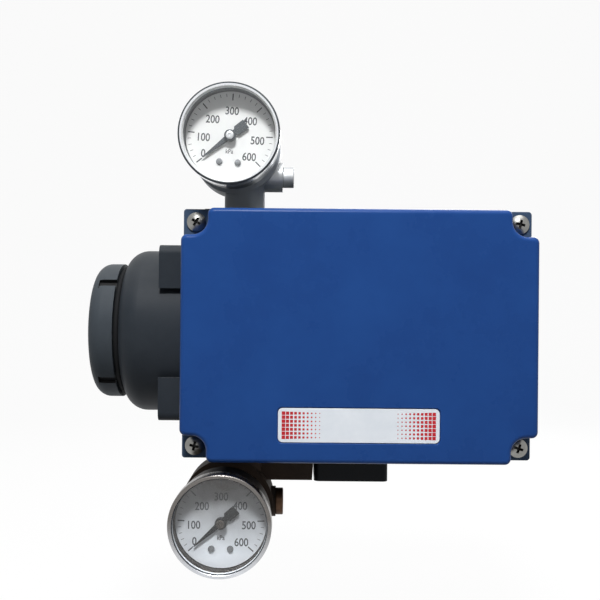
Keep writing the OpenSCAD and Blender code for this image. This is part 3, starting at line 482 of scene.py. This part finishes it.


# Gauges
# Two alike pressure gauges with a pressed steel case, a crimped chrome ring, a clear lens and a white dial.
# A brass socket with a hexagon screws each one into its block; the lower one has darker steel, and its ring
# and dial darken towards the top as painted shade of the body above.
case_steel = bare_metal("gauge_case_steel", (128, 132, 136), (142, 145, 148), rough=(0.36, 0.44),
                        stretch=(1, 9, 1), mark_scale=900.0, depth=0.003)
# A darker steel for the lower gauge's case and hub.
darker_steel = bare_metal("darker_steel", (62, 58, 55), (86, 81, 76), rough=(0.48, 0.62))
chrome = bare_metal("ring_chrome", (228, 231, 234), (238, 240, 242), rough=(0.2, 0.26), mark_scale=300.0,
                    depth=0.001)
dial_enamel = moulded("dial_enamel", (232, 234, 234), (242, 243, 242), rough=0.42, grain_scale=900.0,
                      depth=0.004)
pointer_paint = moulded("pointer_paint", (20, 22, 24), (28, 30, 33), rough=0.6, grain_scale=500.0,
                        depth=0.001, dust=0.0, sheen=0.1)
# The upper pointer's grey is a painted glare on what is black paint; the lower pointer keeps plain black.
glare_grey_paint = moulded("glare_grey_paint", (72, 78, 82), (82, 88, 92), rough=0.6, grain_scale=500.0, depth=0.001,
                      dust=0.0, sheen=0.15)
grey_screw = bare_metal("grey_screw", (98, 101, 104), (128, 131, 134), rough=(0.35, 0.5))
dial_ink = moulded("dial_ink", (56, 59, 64), (68, 71, 76), rough=0.55, grain_scale=1500.0, depth=0.002,
                   dust=0.0, sheen=0.2)
# A dark band painted on the gauge rings: on the upper ring a painted reflection of dark surroundings on its
# outer flank, on the lower ring painted shade inside its lip.
painted_dark_reflection = moulded("painted_dark_reflection", (58, 62, 66), (76, 80, 84), rough=0.7, grain_scale=1400.0, depth=0.01,
                     dust=0.05, sheen=0.08)


# Painted shade that darkens a piece towards its top, between two heights, standing for the shade of the
# body above it
def shade_towards_top(finish, low, high, most, shade_colour):
    tree = finish.node_tree
    shader = tree.nodes["Principled BSDF"]
    unshaded = shader.inputs["Base Color"].links[0].from_socket
    where = put(tree, "ShaderNodeTexCoord", {}).outputs["Object"]
    height = put(tree, "ShaderNodeSeparateXYZ", {"Vector": where}).outputs["Z"]
    uneven = reckon(tree, "MULTIPLY_ADD", noise(tree, where, 110.0, 4.0), 0.012, height)
    painted_shade = ranged(tree, uneven, low, high, 0.0, most)
    tree.links.new(mixed(tree, painted_shade, unshaded, srgb(shade_colour)), shader.inputs["Base Color"])
    return finish


# The lower ring and dial darken towards their tops: painted shade of the cover and blocks above them.
lower_chrome = bare_metal("top_shaded_chrome", (208, 211, 216), (226, 228, 232), rough=(0.22, 0.34),
                         mark_scale=300.0, depth=0.003)
top_shaded_chrome = shade_towards_top(lower_chrome, low=-0.094, high=-0.07, most=0.9, shade_colour=(96, 90, 84))
lower_enamel = moulded("top_shaded_dial", (234, 241, 249), (242, 248, 254), rough=0.42, grain_scale=900.0,
                     depth=0.004, dust=0.0, sheen=0.4)
top_shaded_dial = shade_towards_top(lower_enamel, low=-0.088, high=-0.056, most=0.97, shade_colour=(54, 47, 42))

clear_lens, tree, glass = new_finish("clear_lens")
glass.inputs["Base Color"].default_value = (1.0, 1.0, 1.0, 1.0)
glass.inputs["Roughness"].default_value = 0.02
glass.inputs["IOR"].default_value = 1.45
glass.inputs["Transmission Weight"].default_value = 1.0
ray = put(tree, "ShaderNodeLightPath", {}).outputs
through = put(tree, "ShaderNodeBsdfTransparent", {}).outputs["BSDF"]
plain = reckon(tree, "MAXIMUM", ray["Is Shadow Ray"], ray["Is Diffuse Ray"])
shaded = put(tree, "ShaderNodeMixShader", {0: plain, 1: glass.outputs["BSDF"], 2: through})
tree.links.new(shaded.outputs["Shader"], tree.nodes["Material Output"].inputs["Surface"])


def turned(profile, steps, hollow=False):
    bm = bmesh.new()
    turns = [2 * math.pi * k / steps for k in range(steps)]
    rings = [[bm.verts.new((out * MM * math.cos(t), out * MM * math.sin(t), height * MM)) for t in turns]
             for out, height in profile]
    if hollow:
        rings.append(rings[0])
    else:
        bm.faces.new(rings[0])
        bm.faces.new(rings[-1])
    skin(bm, rings)
    return outward(bm)


def arc(across, height, radius, first, last, steps):
    turns = [math.radians(first + (last - first) * k / steps) for k in range(steps + 1)]
    return [(across + radius * math.cos(t), height + radius * math.sin(t)) for t in turns]


def node_tree(name, inputs):
    tree = bpy.data.node_groups.new(name, "GeometryNodeTree")
    for label, kind, value in inputs:
        socket = tree.interface.new_socket(label, in_out="INPUT", socket_type="NodeSocket" + kind)
        if value is not None:
            socket.default_value = value
    tree.interface.new_socket("Geometry", in_out="OUTPUT", socket_type="NodeSocketGeometry")
    return tree, tree.nodes.new("NodeGroupInput").outputs, tree.nodes.new("NodeGroupOutput").inputs


# The end of a tree: copies on points are made real and get their material
def set_out(tree, points, piece, finish, result, only=True, **turns):
    copies = put(tree, "GeometryNodeInstanceOnPoints", {"Points": points, "Instance": piece, **turns})
    real = put(tree, "GeometryNodeRealizeInstances", {"Geometry": copies.outputs["Instances"]})
    inked = put(tree, "GeometryNodeSetMaterial",
                {"Geometry": real.outputs["Geometry"], "Selection": only, "Material": finish})
    tree.links.new(inked.outputs["Geometry"], result["Geometry"])


def taken_from(host):
    bpy.context.view_layer.update()
    made = host.evaluated_get(bpy.context.evaluated_depsgraph_get())
    mesh = bpy.data.meshes.new_from_object(made)
    bpy.data.objects.remove(host)
    return mesh


def grown(name, tree, sizes):
    host = stand(name, bpy.data.meshes.new(name))
    maker = host.modifiers.new(name, "NODES")
    maker.node_group = tree
    for item in tree.interface.items_tree:
        if item.in_out == "INPUT" and item.name in sizes:
            maker[item.identifier] = sizes[item.name]
    return taken_from(host)


# Bars set round a circle, with a longer and wider one at every so many
bar_ring, given, result = node_tree("bar ring", [
    ("Divisions", "Int", 30), ("Every", "Int", 5), ("First Angle", "Float", 0.0), ("Sweep", "Float", 1.0),
    ("Outer Radius", "Float", 0.0184), ("Short", "Float", 0.0014), ("Long", "Float", 0.0029),
    ("Width", "Float", 0.0002), ("Wide", "Float", 0.0005), ("Height", "Float", 0.00002),
    ("Finish", "Material", None)])
index = put(bar_ring, "GeometryNodeInputIndex", {}).outputs["Index"]
spots = put(bar_ring, "GeometryNodePoints", {"Count": reckon(bar_ring, "ADD", given["Divisions"], 1.0)})
share = reckon(bar_ring, "DIVIDE", index, given["Divisions"])
angle = reckon(bar_ring, "MULTIPLY_ADD", share, given["Sweep"], given["First Angle"])
rest = reckon(bar_ring, "MODULO", index, given["Every"])
major = reckon(bar_ring, "LESS_THAN", rest, 0.5)
reach = ranged(bar_ring, major, 0.0, 1.0, given["Short"], given["Long"])
wide = ranged(bar_ring, major, 0.0, 1.0, given["Width"], given["Wide"])
middle = reckon(bar_ring, "MULTIPLY_ADD", reach, -0.5, given["Outer Radius"])
along_x = reckon(bar_ring, "MULTIPLY", reckon(bar_ring, "COSINE", angle), middle)
along_y = reckon(bar_ring, "MULTIPLY", reckon(bar_ring, "SINE", angle), middle)
spot = put(bar_ring, "ShaderNodeCombineXYZ", {"X": along_x, "Y": along_y})
placed = put(bar_ring, "GeometryNodeSetPosition",
             {"Geometry": spots.outputs["Geometry"], "Position": spot.outputs["Vector"]})
turn = put(bar_ring, "ShaderNodeCombineXYZ", {"Z": angle})
size = put(bar_ring, "ShaderNodeCombineXYZ", {"X": reach, "Y": wide, "Z": given["Height"]})
bar = put(bar_ring, "GeometryNodeMeshCube", {"Size": (1.0, 1.0, 1.0)})
set_out(bar_ring, placed.outputs["Geometry"], bar.outputs["Mesh"], given["Finish"], result,
        Rotation=turn.outputs["Vector"], Scale=size.outputs["Vector"])


def lettering(words, place, height, stroke):
    narrow = 0.84
    curve = bpy.data.curves.new("lettering", "FONT")
    curve.body = words
    curve.size = height * MM
    curve.align_x = "CENTER"
    curve.align_y = "CENTER"
    curve.extrude = print_lift * MM
    curve.offset = stroke * MM
    curve.resolution_u = 4
    mesh = taken_from(stand("lettering", curve))
    mesh.transform(place @ Matrix.Diagonal((narrow, 1.0, 1.0, 1.0)))
    return mesh


def joined(name, meshes):
    bm = bmesh.new()
    for mesh in meshes:
        bm.from_mesh(mesh)
    bmesh.ops.remove_doubles(bm, verts=bm.verts, dist=0.0005 * MM)
    return as_mesh(name, outward(bm))


gauge_r = 20.6
gauge_depth = 26.0
pointer_sweep = 263.0
dial_front = gauge_depth - 9.0
print_lift = 0.01
ring_edge = 24.9
hub_dark_rim_r = 1.81
ring_profile = ([(gauge_r + 0.05, 17.5)]
                + arc(gauge_r + 0.75, 17.9, 0.4, -90, 0, 4)
                + arc(gauge_r + 0.35, 25.2, 0.8, 0, 90, 8)
                + arc(gauge_r - 0.1, 25.5, 0.5, 90, 150, 4)
                + [(19.75, 24.8), (19.6, 24.5), (19.6, 23.6), (gauge_r + 0.05, 23.6)])
hub_profile = ([(2.45, 19.3), (2.45, 20.0), (2.3, 20.15), (1.85, 20.2)]
               + arc(1.5, 20.45, 0.3, 0, 80, 4) + [(0.7, 20.75), (0.55, 20.5)])
head_profile = [(1.4, 17.0), (1.4, 17.5), (1.2, 17.8), (0.5, 17.9)]
head_spots = [(-4.0, -11.2), (4.0, -11.2)]
number_spots = [(-11.2, -8.2), (-11.7, -1.3), (-8.1, 6.7), (0.0, 10.8),
                (8.1, 6.9), (11.8, -1.3), (8.7, -8.5)]
unit_spot = (0.0, -6.6)
to_front = Matrix.Rotation(math.pi / 2, 4, "X")


def pressure_gauge(side, centre, tilt, seat_r, painted_dark_band, shell, ring_finish, dial_finish, hub_finish,
                   pointer_finish):
    place = at(*centre) @ to_front @ Matrix.Rotation(math.radians(tilt), 4, "Z")
    worked_solid(side + "_gauge_socket", brass, 0.4)
    worked_solid(side + "_gauge_case", shell, 0.35)
    bead = turned(ring_profile, steps=144, hollow=True)
    # Faces in the dark band take the painted dark reflection and shade; faces inside the seat radius take
    # the dial's finish.
    for face in bead.faces:
        spot = face.calc_center_median() / MM
        out = math.hypot(spot.x, spot.y)
        on_painted_band = painted_dark_band[0] < out < painted_dark_band[1] and spot.z > ring_edge
        face.material_index = 2 if out < seat_r else int(on_painted_band)
    rolled = as_mesh("ring", bead)
    rolled.transform(place)
    ring = dress(side + "_gauge_ring_rolled", rolled, ring_finish, "case", [side + "_gauge_ring"],
                 facet=50.0)
    ring.data.materials.append(painted_dark_reflection)
    ring.data.materials.append(dial_finish)
    frame["nodes"][side + "_gauge_lens"].data.materials.clear()
    frame["nodes"][side + "_gauge_lens"].data.materials.append(clear_lens)
    worked_solid(side + "_gauge_dial", dial_finish, 0.1)
    worked_solid(side + "_movement", brass, 0.15)
    worked_solid(side + "_bourdon_tube", bronze, 0.25)
    worked_solid(side + "_sector", brass, 0.0)
    worked_solid(side + "_pointer", pointer_finish, 0.08)
    boss = turned(hub_profile, steps=40)
    # Out past the seam radius the hub takes the pointer's paint: partly the pointer's own paint on the
    # hub's base, partly painted shade round the bright cap.
    for face in boss.faces:
        spot = face.calc_center_median() / MM
        face.material_index = int(math.hypot(spot.x, spot.y) > hub_dark_rim_r)
    pressed = as_mesh("hub", boss)
    pressed.transform(place)
    hub = dress(side + "_pointer_hub", pressed, hub_finish, side + "_pointer", [], facet=40.0)
    hub.data.materials.append(pointer_finish)
    heads = []
    for across, up in head_spots:
        head = as_mesh("head", turned(head_profile, steps=28))
        head.transform(place @ at(across, up, 0))
        heads.append(head)
    dress(side + "_dial_screws", joined("heads", heads), grey_screw, "case", [], facet=40.0)
    on_dial = place @ at(0, 0, dial_front + print_lift)
    sweep = math.radians(pointer_sweep)
    ticks = grown("ticks", bar_ring, {"First Angle": math.pi / 2 + sweep / 2, "Sweep": -sweep,
                                      "Finish": dial_ink})
    ticks.transform(on_dial)
    prints = [ticks]
    for k, (across, up) in enumerate(number_spots):
        prints.append(lettering(str(100 * k), on_dial @ at(across, up, 0), height=4.8, stroke=0.07))
    prints.append(lettering("kPa", on_dial @ at(*unit_spot, 0), height=2.8, stroke=0.03))
    printed = joined(side + "_dial_print", prints)
    dress(side + "_dial_print", printed, dial_ink, "case", [], facet=30.0)


pressure_gauge("upper", (-56.0, -72.0, 85.6), tilt=-3.5, seat_r=20.08, painted_dark_band=(20.9, 22.0),
               shell=case_steel, ring_finish=chrome, dial_finish=dial_enamel, hub_finish=mill_alloy,
               pointer_finish=glare_grey_paint)
pressure_gauge("lower", (-58.0, -79.0, -79.4), tilt=0.0, seat_r=19.7, painted_dark_band=(19.7, 20.1),
               shell=darker_steel, ring_finish=top_shaded_chrome, dial_finish=top_shaded_dial,
               hub_finish=darker_steel, pointer_finish=pointer_paint)


# Beam, pivot and feedback spring
# A light alloy balance beam on a steel pin in a folded bracket, with the armature at one end.
# The feedback and zero springs hang on it by an eye; both are wound from hard drawn wire.
spring_y = -38.0
zero_x = -14.0
wire_r = 0.4
coil_r = 3.0 - wire_r
hook_r = 1.2
worked_solid("pivot_bracket", zinc_plate, 0.4)
worked_solid("pivot_pin", ground_steel, 0.3)
worked_solid("beam", mill_alloy, 0.3)


def wire_along(path):
    sides = 8
    bm = bmesh.new()
    rings = []
    across = Vector((0, 1, 0))
    for k, spot in enumerate(path):
        along = (path[min(k + 1, len(path) - 1)] - path[max(k - 1, 0)]).normalized()
        across = (across - along * across.dot(along)).normalized()
        other = along.cross(across)
        rings.append([bm.verts.new((spot + (across * math.cos(a) + other * math.sin(a)) * wire_r) * MM)
                      for a in (2 * math.pi * j / sides for j in range(sides))])
    skin(bm, rings)
    bm.faces.new(rings[0])
    bm.faces.new(rings[-1])
    return outward(bm)


def hook(x, z, up):
    bends = [math.radians(-70 + 250 * k / 12) for k in range(13)]
    return [Vector((x + up * hook_r * math.sin(a), spring_y,
                    z + up * (wire_r + hook_r * (1 - math.cos(a))))) for a in bends]


def wound_spring(node, x, z0, z1, turns):
    steps_a_turn = 24
    low = z0 + wire_r + 2 * hook_r
    high = z1 - wire_r - 2 * hook_r
    path = hook(x, z0, 1)
    steps = int(turns * steps_a_turn)
    for k in range(1, steps):
        a = 2 * math.pi * k / steps_a_turn
        out = coil_r * min(1.0, k / 10, (steps - k) / 10)
        rise = low + (high - low) * k / steps
        path.append(Vector((x - out * math.cos(a), spring_y + out * math.sin(a), rise)))
    leg = [Vector((x, spring_y, high - 0.8)), Vector((x, spring_y, high - 0.4))]
    eye = as_mesh(node + "_eye", wire_along(leg + hook(x, z1, -1)[::-1]))
    dress(node + "_eye", eye, ground_steel, "beam", [], facet=60.0)
    coil = as_mesh(node, wire_along(path))
    spring = dress(node + "_wound", coil, ground_steel, None, [node], facet=60.0)
    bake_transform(spring)


wound_spring("feedback_spring", 30.0, z0=-11.0, z1=4.0, turns=6.0)
wound_spring("zero_spring", zero_x, z0=-18.0, z1=4.0, turns=12.0)


# Torque motor
# A soft iron yoke on four legs, two magnets and a coil of enamelled copper wire on a resin bobbin.
# The signal current in the coil tips the armature of the beam.
blued_iron = bare_metal("blued_iron", (74, 77, 82), (104, 107, 112), rough=(0.35, 0.55), stretch=(1, 1, 6),
                        depth=0.012)
cream_resin = moulded("cream_resin", (196, 188, 166), (214, 206, 184), rough=0.45, grain_scale=1500.0,
                      depth=0.015)
copper_wire = bare_metal("copper_wire", (150, 78, 40), (184, 104, 58), rough=(0.2, 0.36),
                         stretch=(22, 0.4, 0.4), mark_scale=220.0, depth=0.12)
worked_solid("motor_yoke", blued_iron, 0.4)
worked_solid("motor_magnets", blued_iron, 0.3)
worked_solid("coil_bobbin", cream_resin, 0.25)
worked_solid("coil_winding", copper_wire, 0.4)


# Pilot relay and switch
# An alloy block with a rubber diaphragm under a screwed cap; the nozzle faces the beam.
# The slotted brass stem at its side changes over between automatic and manual.
worked_solid("nozzle", brass, 0.15)
worked_solid("relay_base", mill_alloy, 0.5)
worked_solid("relay_diaphragm", black_rubber, 0.0)
worked_solid("relay_cap", mill_alloy, 0.5)
worked_solid("relay_screws", zinc_plate, 0.25)
worked_solid("auto_manual_switch", brass, 0.3)


# Zero adjuster
# A brass screw with a knurled wheel in a plated shelf; the nut on it stretches the zero spring.
# It is reached with the cover off.
wheel_z = -40.75
ridge_long = 0.9
ridge_wide = 0.42
worked_solid("zero_bracket", zinc_plate, 0.4)
worked_solid("zero_screw", brass, 0.3)
knurl = grown("knurl", bar_ring, {
    "Divisions": 71, "Every": 1, "Sweep": math.radians(355), "Outer Radius": 9.3 * MM,
    "Short": ridge_long * MM, "Long": ridge_long * MM, "Width": ridge_wide * MM, "Wide": ridge_wide * MM,
    "Height": 4.1 * MM, "Finish": brass})
knurl.transform(at(zero_x, spring_y, wheel_z))
dress("zero_wheel_knurl", knurl, None, "zero_wheel", [], facet=30.0)
worked_solid("zero_nut", mill_alloy, 0.3)


# Front cover
# A shallow lid die cast in aluminium with sprayed blue gloss paint, drafted sides and rounded edges.
# Its corners are notched down to screw seats coloured a darker grey-blue, and a shallow pocket takes the
# nameplate.
cover_paint = painted_casting("cover_paint", (28, 65, 128), (33, 72, 136), (150, 156, 164), rough=0.28,
                              peel_scale=900.0, peel_depth=0.012, wear=0.1, dust=0.04)
seat_paint = painted_casting("seat_paint", (56, 73, 96), (66, 83, 106), (112, 116, 122), wear=0.3, dust=0.1)
rim_y = -78.0
seat_y = -81.0
face_y = -98.0
face_x = 76.0
face_z = 54.0
rim_draft = 0.7
lip_x = 76.6
lip_z = 54.6
lip_r = 1.3
screw_x = 71.2
screw_z = 49.2
notch_r = 6.5
nose_r = 2.6
face_round = 2.0
wall_thick = 3.0
seat_from_x = 63.0
seat_from_z = 41.0
plate_x = 34.2
plate_z = 7.25
plate_r = 2.0
plate_mid = -37.8
bend_steps = 6


def rounded_corner(half_x, half_z, radius):
    return arc(half_x - radius, half_z - radius, radius, 0, 90, bend_steps)


def around(quarter):
    left = [(-x, z) for x, z in reversed(quarter)]
    low = [(-x, -z) for x, z in quarter]
    right = [(x, -z) for x, z in reversed(quarter)]
    return quarter + left + low + right


def notched(y, inset):
    grow = rim_draft * (y - face_y) / (rim_y - face_y) - inset
    reach = notch_r + inset
    nose = max(nose_r - inset, 0.3)
    return around(rounded_corner(face_x + grow, screw_z - reach, nose)
                  + arc(screw_x, screw_z, reach, 270, 180, 12)
                  + rounded_corner(screw_x - reach, face_z + grow, nose))


def pocket(grow):
    outline = around(rounded_corner(plate_x + grow, plate_z + grow, plate_r))
    return [(x, z + plate_mid) for x, z in outline]


lid = bmesh.new()


def ring_at(y, outline):
    return [lid.verts.new((x * MM, y * MM, z * MM)) for x, z in outline]


def plane(*loops):
    edges = [lid.edges.get((loop[k - 1], loop[k])) or lid.edges.new((loop[k - 1], loop[k]))
             for loop in loops for k in range(len(loop))]
    bmesh.ops.triangle_fill(lid, use_beauty=True, edges=edges)


seat_ring = ring_at(seat_y, notched(seat_y, 0))
side_rings = [seat_ring]
for k in range(9):
    t = math.radians(90 * k / 8)
    y = face_y + face_round * (1 - math.sin(t))
    side_rings.append(ring_at(y, notched(y, face_round * (1 - math.cos(t)))))
skin(lid, side_rings)
mouth_rings = [ring_at(face_y + depth, pocket(grow))
               for depth, grow in ((0.0, 0.65), (0.12, 0.42), (0.35, 0.3), (0.9, 0.3))]
plane(side_rings[-1], mouth_rings[0])
skin(lid, mouth_rings)
lid.faces.new(mouth_rings[-1])

# The slab behind the notches, on which the screw heads sit
lip_outline = around(rounded_corner(lip_x, lip_z, lip_r))
lip_count = len(lip_outline) // 4
span = len(seat_ring) // 4
slab = []
for q in range(4):
    lip = ring_at(seat_y, lip_outline[q * lip_count:(q + 1) * lip_count])
    path = seat_ring[q * span:(q + 1) * span]
    lid.faces.new(path + lip[::-1])
    slab += [path[0]] + lip + [path[-1]]
slab_rings = [slab]
for y, grow in ((rim_y - 0.5, 0.0), (rim_y - 0.12, -0.12), (rim_y, -0.5)):
    slab_rings.append(ring_at(y, [(v.co.x / MM + math.copysign(grow, v.co.x),
                                   v.co.z / MM + math.copysign(grow, v.co.z)) for v in slab_rings[-1]]))
skin(lid, slab_rings)
hollow = ring_at(rim_y, notched(face_y, wall_thick))
plane(slab_rings[-1], hollow)
ceiling = ring_at(face_y + wall_thick, notched(face_y, wall_thick))
skin(lid, [hollow, ceiling])
lid.faces.new(ceiling)
for face in lid.faces:
    middle = face.calc_center_median() / MM
    at_corner = abs(middle.x) > seat_from_x and abs(middle.z) > seat_from_z
    face.material_index = int(at_corner and middle.y > seat_y - 0.01)
cover = dress("front_cover_cast", as_mesh("front_cover_cast", outward(lid)), cover_paint, "cover",
              ["front_cover"], facet=40.0)
cover.data.materials.append(seat_paint)
even_faces(cover, 100)


# Nameplate
# A thin aluminium plate with rounded corners, let into the pocket and glued.
# Its brushed face carries two fields of small printed red squares.
brushed_plate = bare_metal("brushed_plate", (222, 228, 235), (231, 236, 242), rough=(0.34, 0.5),
                           stretch=(0.05, 1, 1), mark_scale=2400.0, depth=0.003)
brushed_plate.node_tree.nodes["Principled BSDF"].inputs["Metallic"].default_value = 0.1
red_ink = moulded("red_ink", (178, 26, 36), (192, 36, 46), rough=0.5, grain_scale=1500.0, depth=0.002,
                  dust=0.0, sheen=0.3)
plate_sunk = 0.29
field_x = -24.2
worked_solid("nameplate", brushed_plate, 0.12)

# Squares in rows, shrinking towards the middle of the plate
square_field, given, result = node_tree("square field", [
    ("Columns", "Int", 10), ("Rows", "Int", 7), ("Pitch", "Float", 0.0017), ("Largest", "Float", 0.0015),
    ("Smallest", "Float", 0.0004), ("Height", "Float", 0.00002), ("Finish", "Material", None)])
columns = reckon(square_field, "ADD", given["Columns"], -1.0)
width = reckon(square_field, "MULTIPLY", columns, given["Pitch"])
rows = reckon(square_field, "ADD", given["Rows"], -1.0)
grid = put(square_field, "GeometryNodeMeshGrid", {
    "Size X": width, "Size Y": reckon(square_field, "MULTIPLY", rows, given["Pitch"]),
    "Vertices X": given["Columns"], "Vertices Y": given["Rows"]})
spot = put(square_field, "GeometryNodeInputPosition", {})
across = put(square_field, "ShaderNodeSeparateXYZ", {"Vector": spot.outputs["Position"]})
share = reckon(square_field, "DIVIDE", across.outputs["X"], width)
side = ranged(square_field, share, -0.5, 0.5, given["Largest"], given["Smallest"])
size = put(square_field, "ShaderNodeCombineXYZ", {"X": side, "Y": side, "Z": given["Height"]})
square = put(square_field, "GeometryNodeMeshCube", {"Size": (1.0, 1.0, 1.0)})
set_out(square_field, grid.outputs["Mesh"], square.outputs["Mesh"], given["Finish"], result,
        Scale=size.outputs["Vector"])

fields = []
for turn in (0.0, math.pi):
    field = grown("squares", square_field, {"Finish": red_ink})
    field.transform(at(0, face_y + plate_sunk, plate_mid) @ to_front @ Matrix.Rotation(turn, 4, "Z")
                    @ at(field_x, 0, 0))
    fields.append(field)
dress("nameplate_print", joined("nameplate_print", fields), red_ink, "cover", [], facet=30.0)


# Cover screws
# Four pan head screws with a cross recess, nickel plated; the recess is painted near-black as painted
# shade.
# They stay captive in the cover when it comes off.
nickel = bare_metal("nickel_plate", (122, 122, 119), (152, 151, 147), rough=(0.28, 0.42), depth=0.008)
# Near-black paint for the cross recesses: painted shade.
recess_shade_paint = moulded("recess_shade_paint", (18, 17, 17), (34, 32, 31), rough=0.7, grain_scale=1200.0,
                       depth=0.02)
pan_head = ([(2.0, -15.0), (2.0, -0.02), (3.75, 0.0), (3.9, 0.15), (3.9, 1.0)]
            + arc(0, -3.35, 5.95, 45, 84, 8))


def cross_cutter(wide, narrow, top, bottom):
    bm = bmesh.new()
    loops = []
    for height, scale in ((bottom, 0.45), (top, 1.0)):
        a = wide * scale * MM
        b = narrow * (0.6 + 0.4 * scale) * MM
        outline = [(a, -b), (a, b), (b, b), (b, a), (-b, a), (-b, b),
                   (-a, b), (-a, -b), (-b, -b), (-b, -a), (b, -a), (b, -b)]
        loops.append([bm.verts.new((x, y, height * MM)) for x, y in outline])
        bm.faces.new(loops[-1])
    skin(bm, loops)
    return outward(bm)


def recessed(name, head, cutter, finish, inner):
    solid = stand(name, as_mesh(name, head))
    tool = stand(name + "_tool", as_mesh(name + "_tool", cutter))
    solid.data.materials.append(finish)
    tool.data.materials.append(inner)
    cut = solid.modifiers.new("recess", "BOOLEAN")
    cut.object = tool
    cut.solver = "EXACT"
    cut.material_mode = "TRANSFER"
    mesh = taken_from(solid)
    bpy.data.objects.remove(tool)
    return mesh


# Like screws at the four corners of a rectangle, each stopped at its own angle
corner_set, given, result = node_tree("corner set", [
    ("Piece", "Object", None), ("Pitch X", "Float", 0.1), ("Pitch Y", "Float", 0.1), ("Seed", "Int", 3),
    ("Finish", "Material", None)])
grid = put(corner_set, "GeometryNodeMeshGrid", {
    "Size X": given["Pitch X"], "Size Y": given["Pitch Y"], "Vertices X": 2, "Vertices Y": 2})
piece = put(corner_set, "GeometryNodeObjectInfo", {"Object": given["Piece"]})
stop = put(corner_set, "FunctionNodeRandomValue", {"Seed": given["Seed"], 3: 1.5}, data_type="FLOAT")
turn = put(corner_set, "ShaderNodeCombineXYZ", {"Z": stop.outputs[1]})
plated = put(corner_set, "GeometryNodeMaterialSelection", {"Material": given["Finish"]})
set_out(corner_set, grid.outputs["Mesh"], piece.outputs["Geometry"], given["Finish"], result,
        only=plated.outputs["Selection"], Rotation=turn.outputs["Vector"])

cutter = cross_cutter(wide=2.6, narrow=0.62, top=3.2, bottom=0.5)
head = turned(pan_head, steps=48)
pattern = stand("cover_screw", recessed("cover_screw", head, cutter, nickel, recess_shade_paint))
screws = grown("cover_screws_plated", corner_set, {
    "Piece": pattern, "Pitch X": 2 * screw_x * MM, "Pitch Y": 2 * screw_z * MM, "Seed": 3,
    "Finish": nickel})
bpy.data.objects.remove(pattern)
screws.transform(at(0, seat_y, 0) @ to_front)
dress("cover_screws_plated", screws, None, "cover", ["cover_screws"], facet=35.0)


# Floor, backdrop and light
# A pale floor below the part curves up into the backdrop behind it.
# A lamp stands high in front, a large soft one hangs above, and a weaker one stands behind.
floor_z = -0.17
floor_half = 3.0
bend_y = 0.9
bend_r = 0.3


def seen_rays(tree):
    ray = put(tree, "ShaderNodeLightPath", {}).outputs
    direct = reckon(tree, "MAXIMUM", ray["Is Camera Ray"], ray["Is Glossy Ray"])
    return reckon(tree, "MAXIMUM", direct, ray["Is Transmission Ray"])


floor_sheet, tree, cloth = new_finish("floor_sheet")
cloth.inputs["Base Color"].default_value = (0.2, 0.2, 0.2, 1.0)
cloth.inputs["Roughness"].default_value = 0.9
glow = put(tree, "ShaderNodeEmission", {"Color": (1.0, 1.0, 1.0, 1.0), "Strength": 1.0}).outputs["Emission"]
pale = put(tree, "ShaderNodeBsdfDiffuse", {"Color": (0.9, 0.9, 0.9, 1.0)}).outputs["BSDF"]
lit = put(tree, "ShaderNodeMixShader", {0: 0.93, 1: pale, 2: glow}).outputs["Shader"]
shown = put(tree, "ShaderNodeMixShader", {0: seen_rays(tree), 1: cloth.outputs["BSDF"], 2: lit})
tree.links.new(shown.outputs["Shader"], tree.nodes["Material Output"].inputs["Surface"])

profile = ([(-floor_half, floor_z)] + arc(bend_y, floor_z + bend_r, bend_r, 270, 360, 12)
           + [(bend_y + bend_r, floor_half)])
sheet = bpy.data.meshes.new("floor")
sheet.from_pydata([(x, y, z) for y, z in profile for x in (-floor_half, floor_half)], [],
                  [(2 * k, 2 * k + 1, 2 * k + 3, 2 * k + 2) for k in range(len(profile) - 1)])
sheet.polygons.foreach_set("use_smooth", [True] * len(sheet.polygons))
sheet.materials.append(floor_sheet)
stand("floor", sheet)

world = bpy.data.worlds.new("studio")
bpy.context.scene.world = world
world.use_nodes = True
tree = world.node_tree
sky = tree.nodes["Background"]
sky.inputs["Color"].default_value = (0.95, 0.955, 0.96, 1.0)
where = put(tree, "ShaderNodeTexCoord", {}).outputs["Generated"]
upward = put(tree, "ShaderNodeSeparateXYZ", {"Vector": where}).outputs["Z"]
level = ranged(tree, upward, -0.4, 0.9, 0.06, 0.32)
tree.links.new(reckon(tree, "MAXIMUM", seen_rays(tree), level), sky.inputs["Strength"])


def soft_lamp(name, spot, aim, size, power):
    lamp = bpy.data.lights.new(name, "AREA")
    lamp.shape = "DISK"
    lamp.size = size
    lamp.energy = power
    placed = stand(name, lamp)
    placed.location = spot
    placed.rotation_euler = (Vector(aim) - Vector(spot)).to_track_quat("-Z", "Y").to_euler()


soft_lamp("front_lamp", (-0.08, -0.62, 0.62), (-0.02, -0.08, 0.0), size=0.16, power=6.6)
soft_lamp("top_lamp", (0.1, -0.2, 1.0), (-0.02, -0.05, 0.0), size=0.9, power=6.0)
soft_lamp("back_lamp", (0.25, 0.8, 0.4), (-0.02, -0.05, 0.0), size=0.5, power=4.0)


# Camera
# It stands straight in front of the part, a little left of its middle.
# The horizon is tipped by half a degree.
camera_spot = (-25.3, -478.0, 13.9)
tipped = 0.5
lens = bpy.data.cameras.new("camera")
lens.lens = 54.0
lens.sensor_width = 36.0
lens.shift_y = 0.005
camera = stand("camera", lens)
camera.matrix_world = at(*camera_spot) @ to_front @ Matrix.Rotation(math.radians(tipped), 4, "Z")
bpy.context.scene.camera = camera
bpy.context.scene.view_settings.view_transform = "Standard"
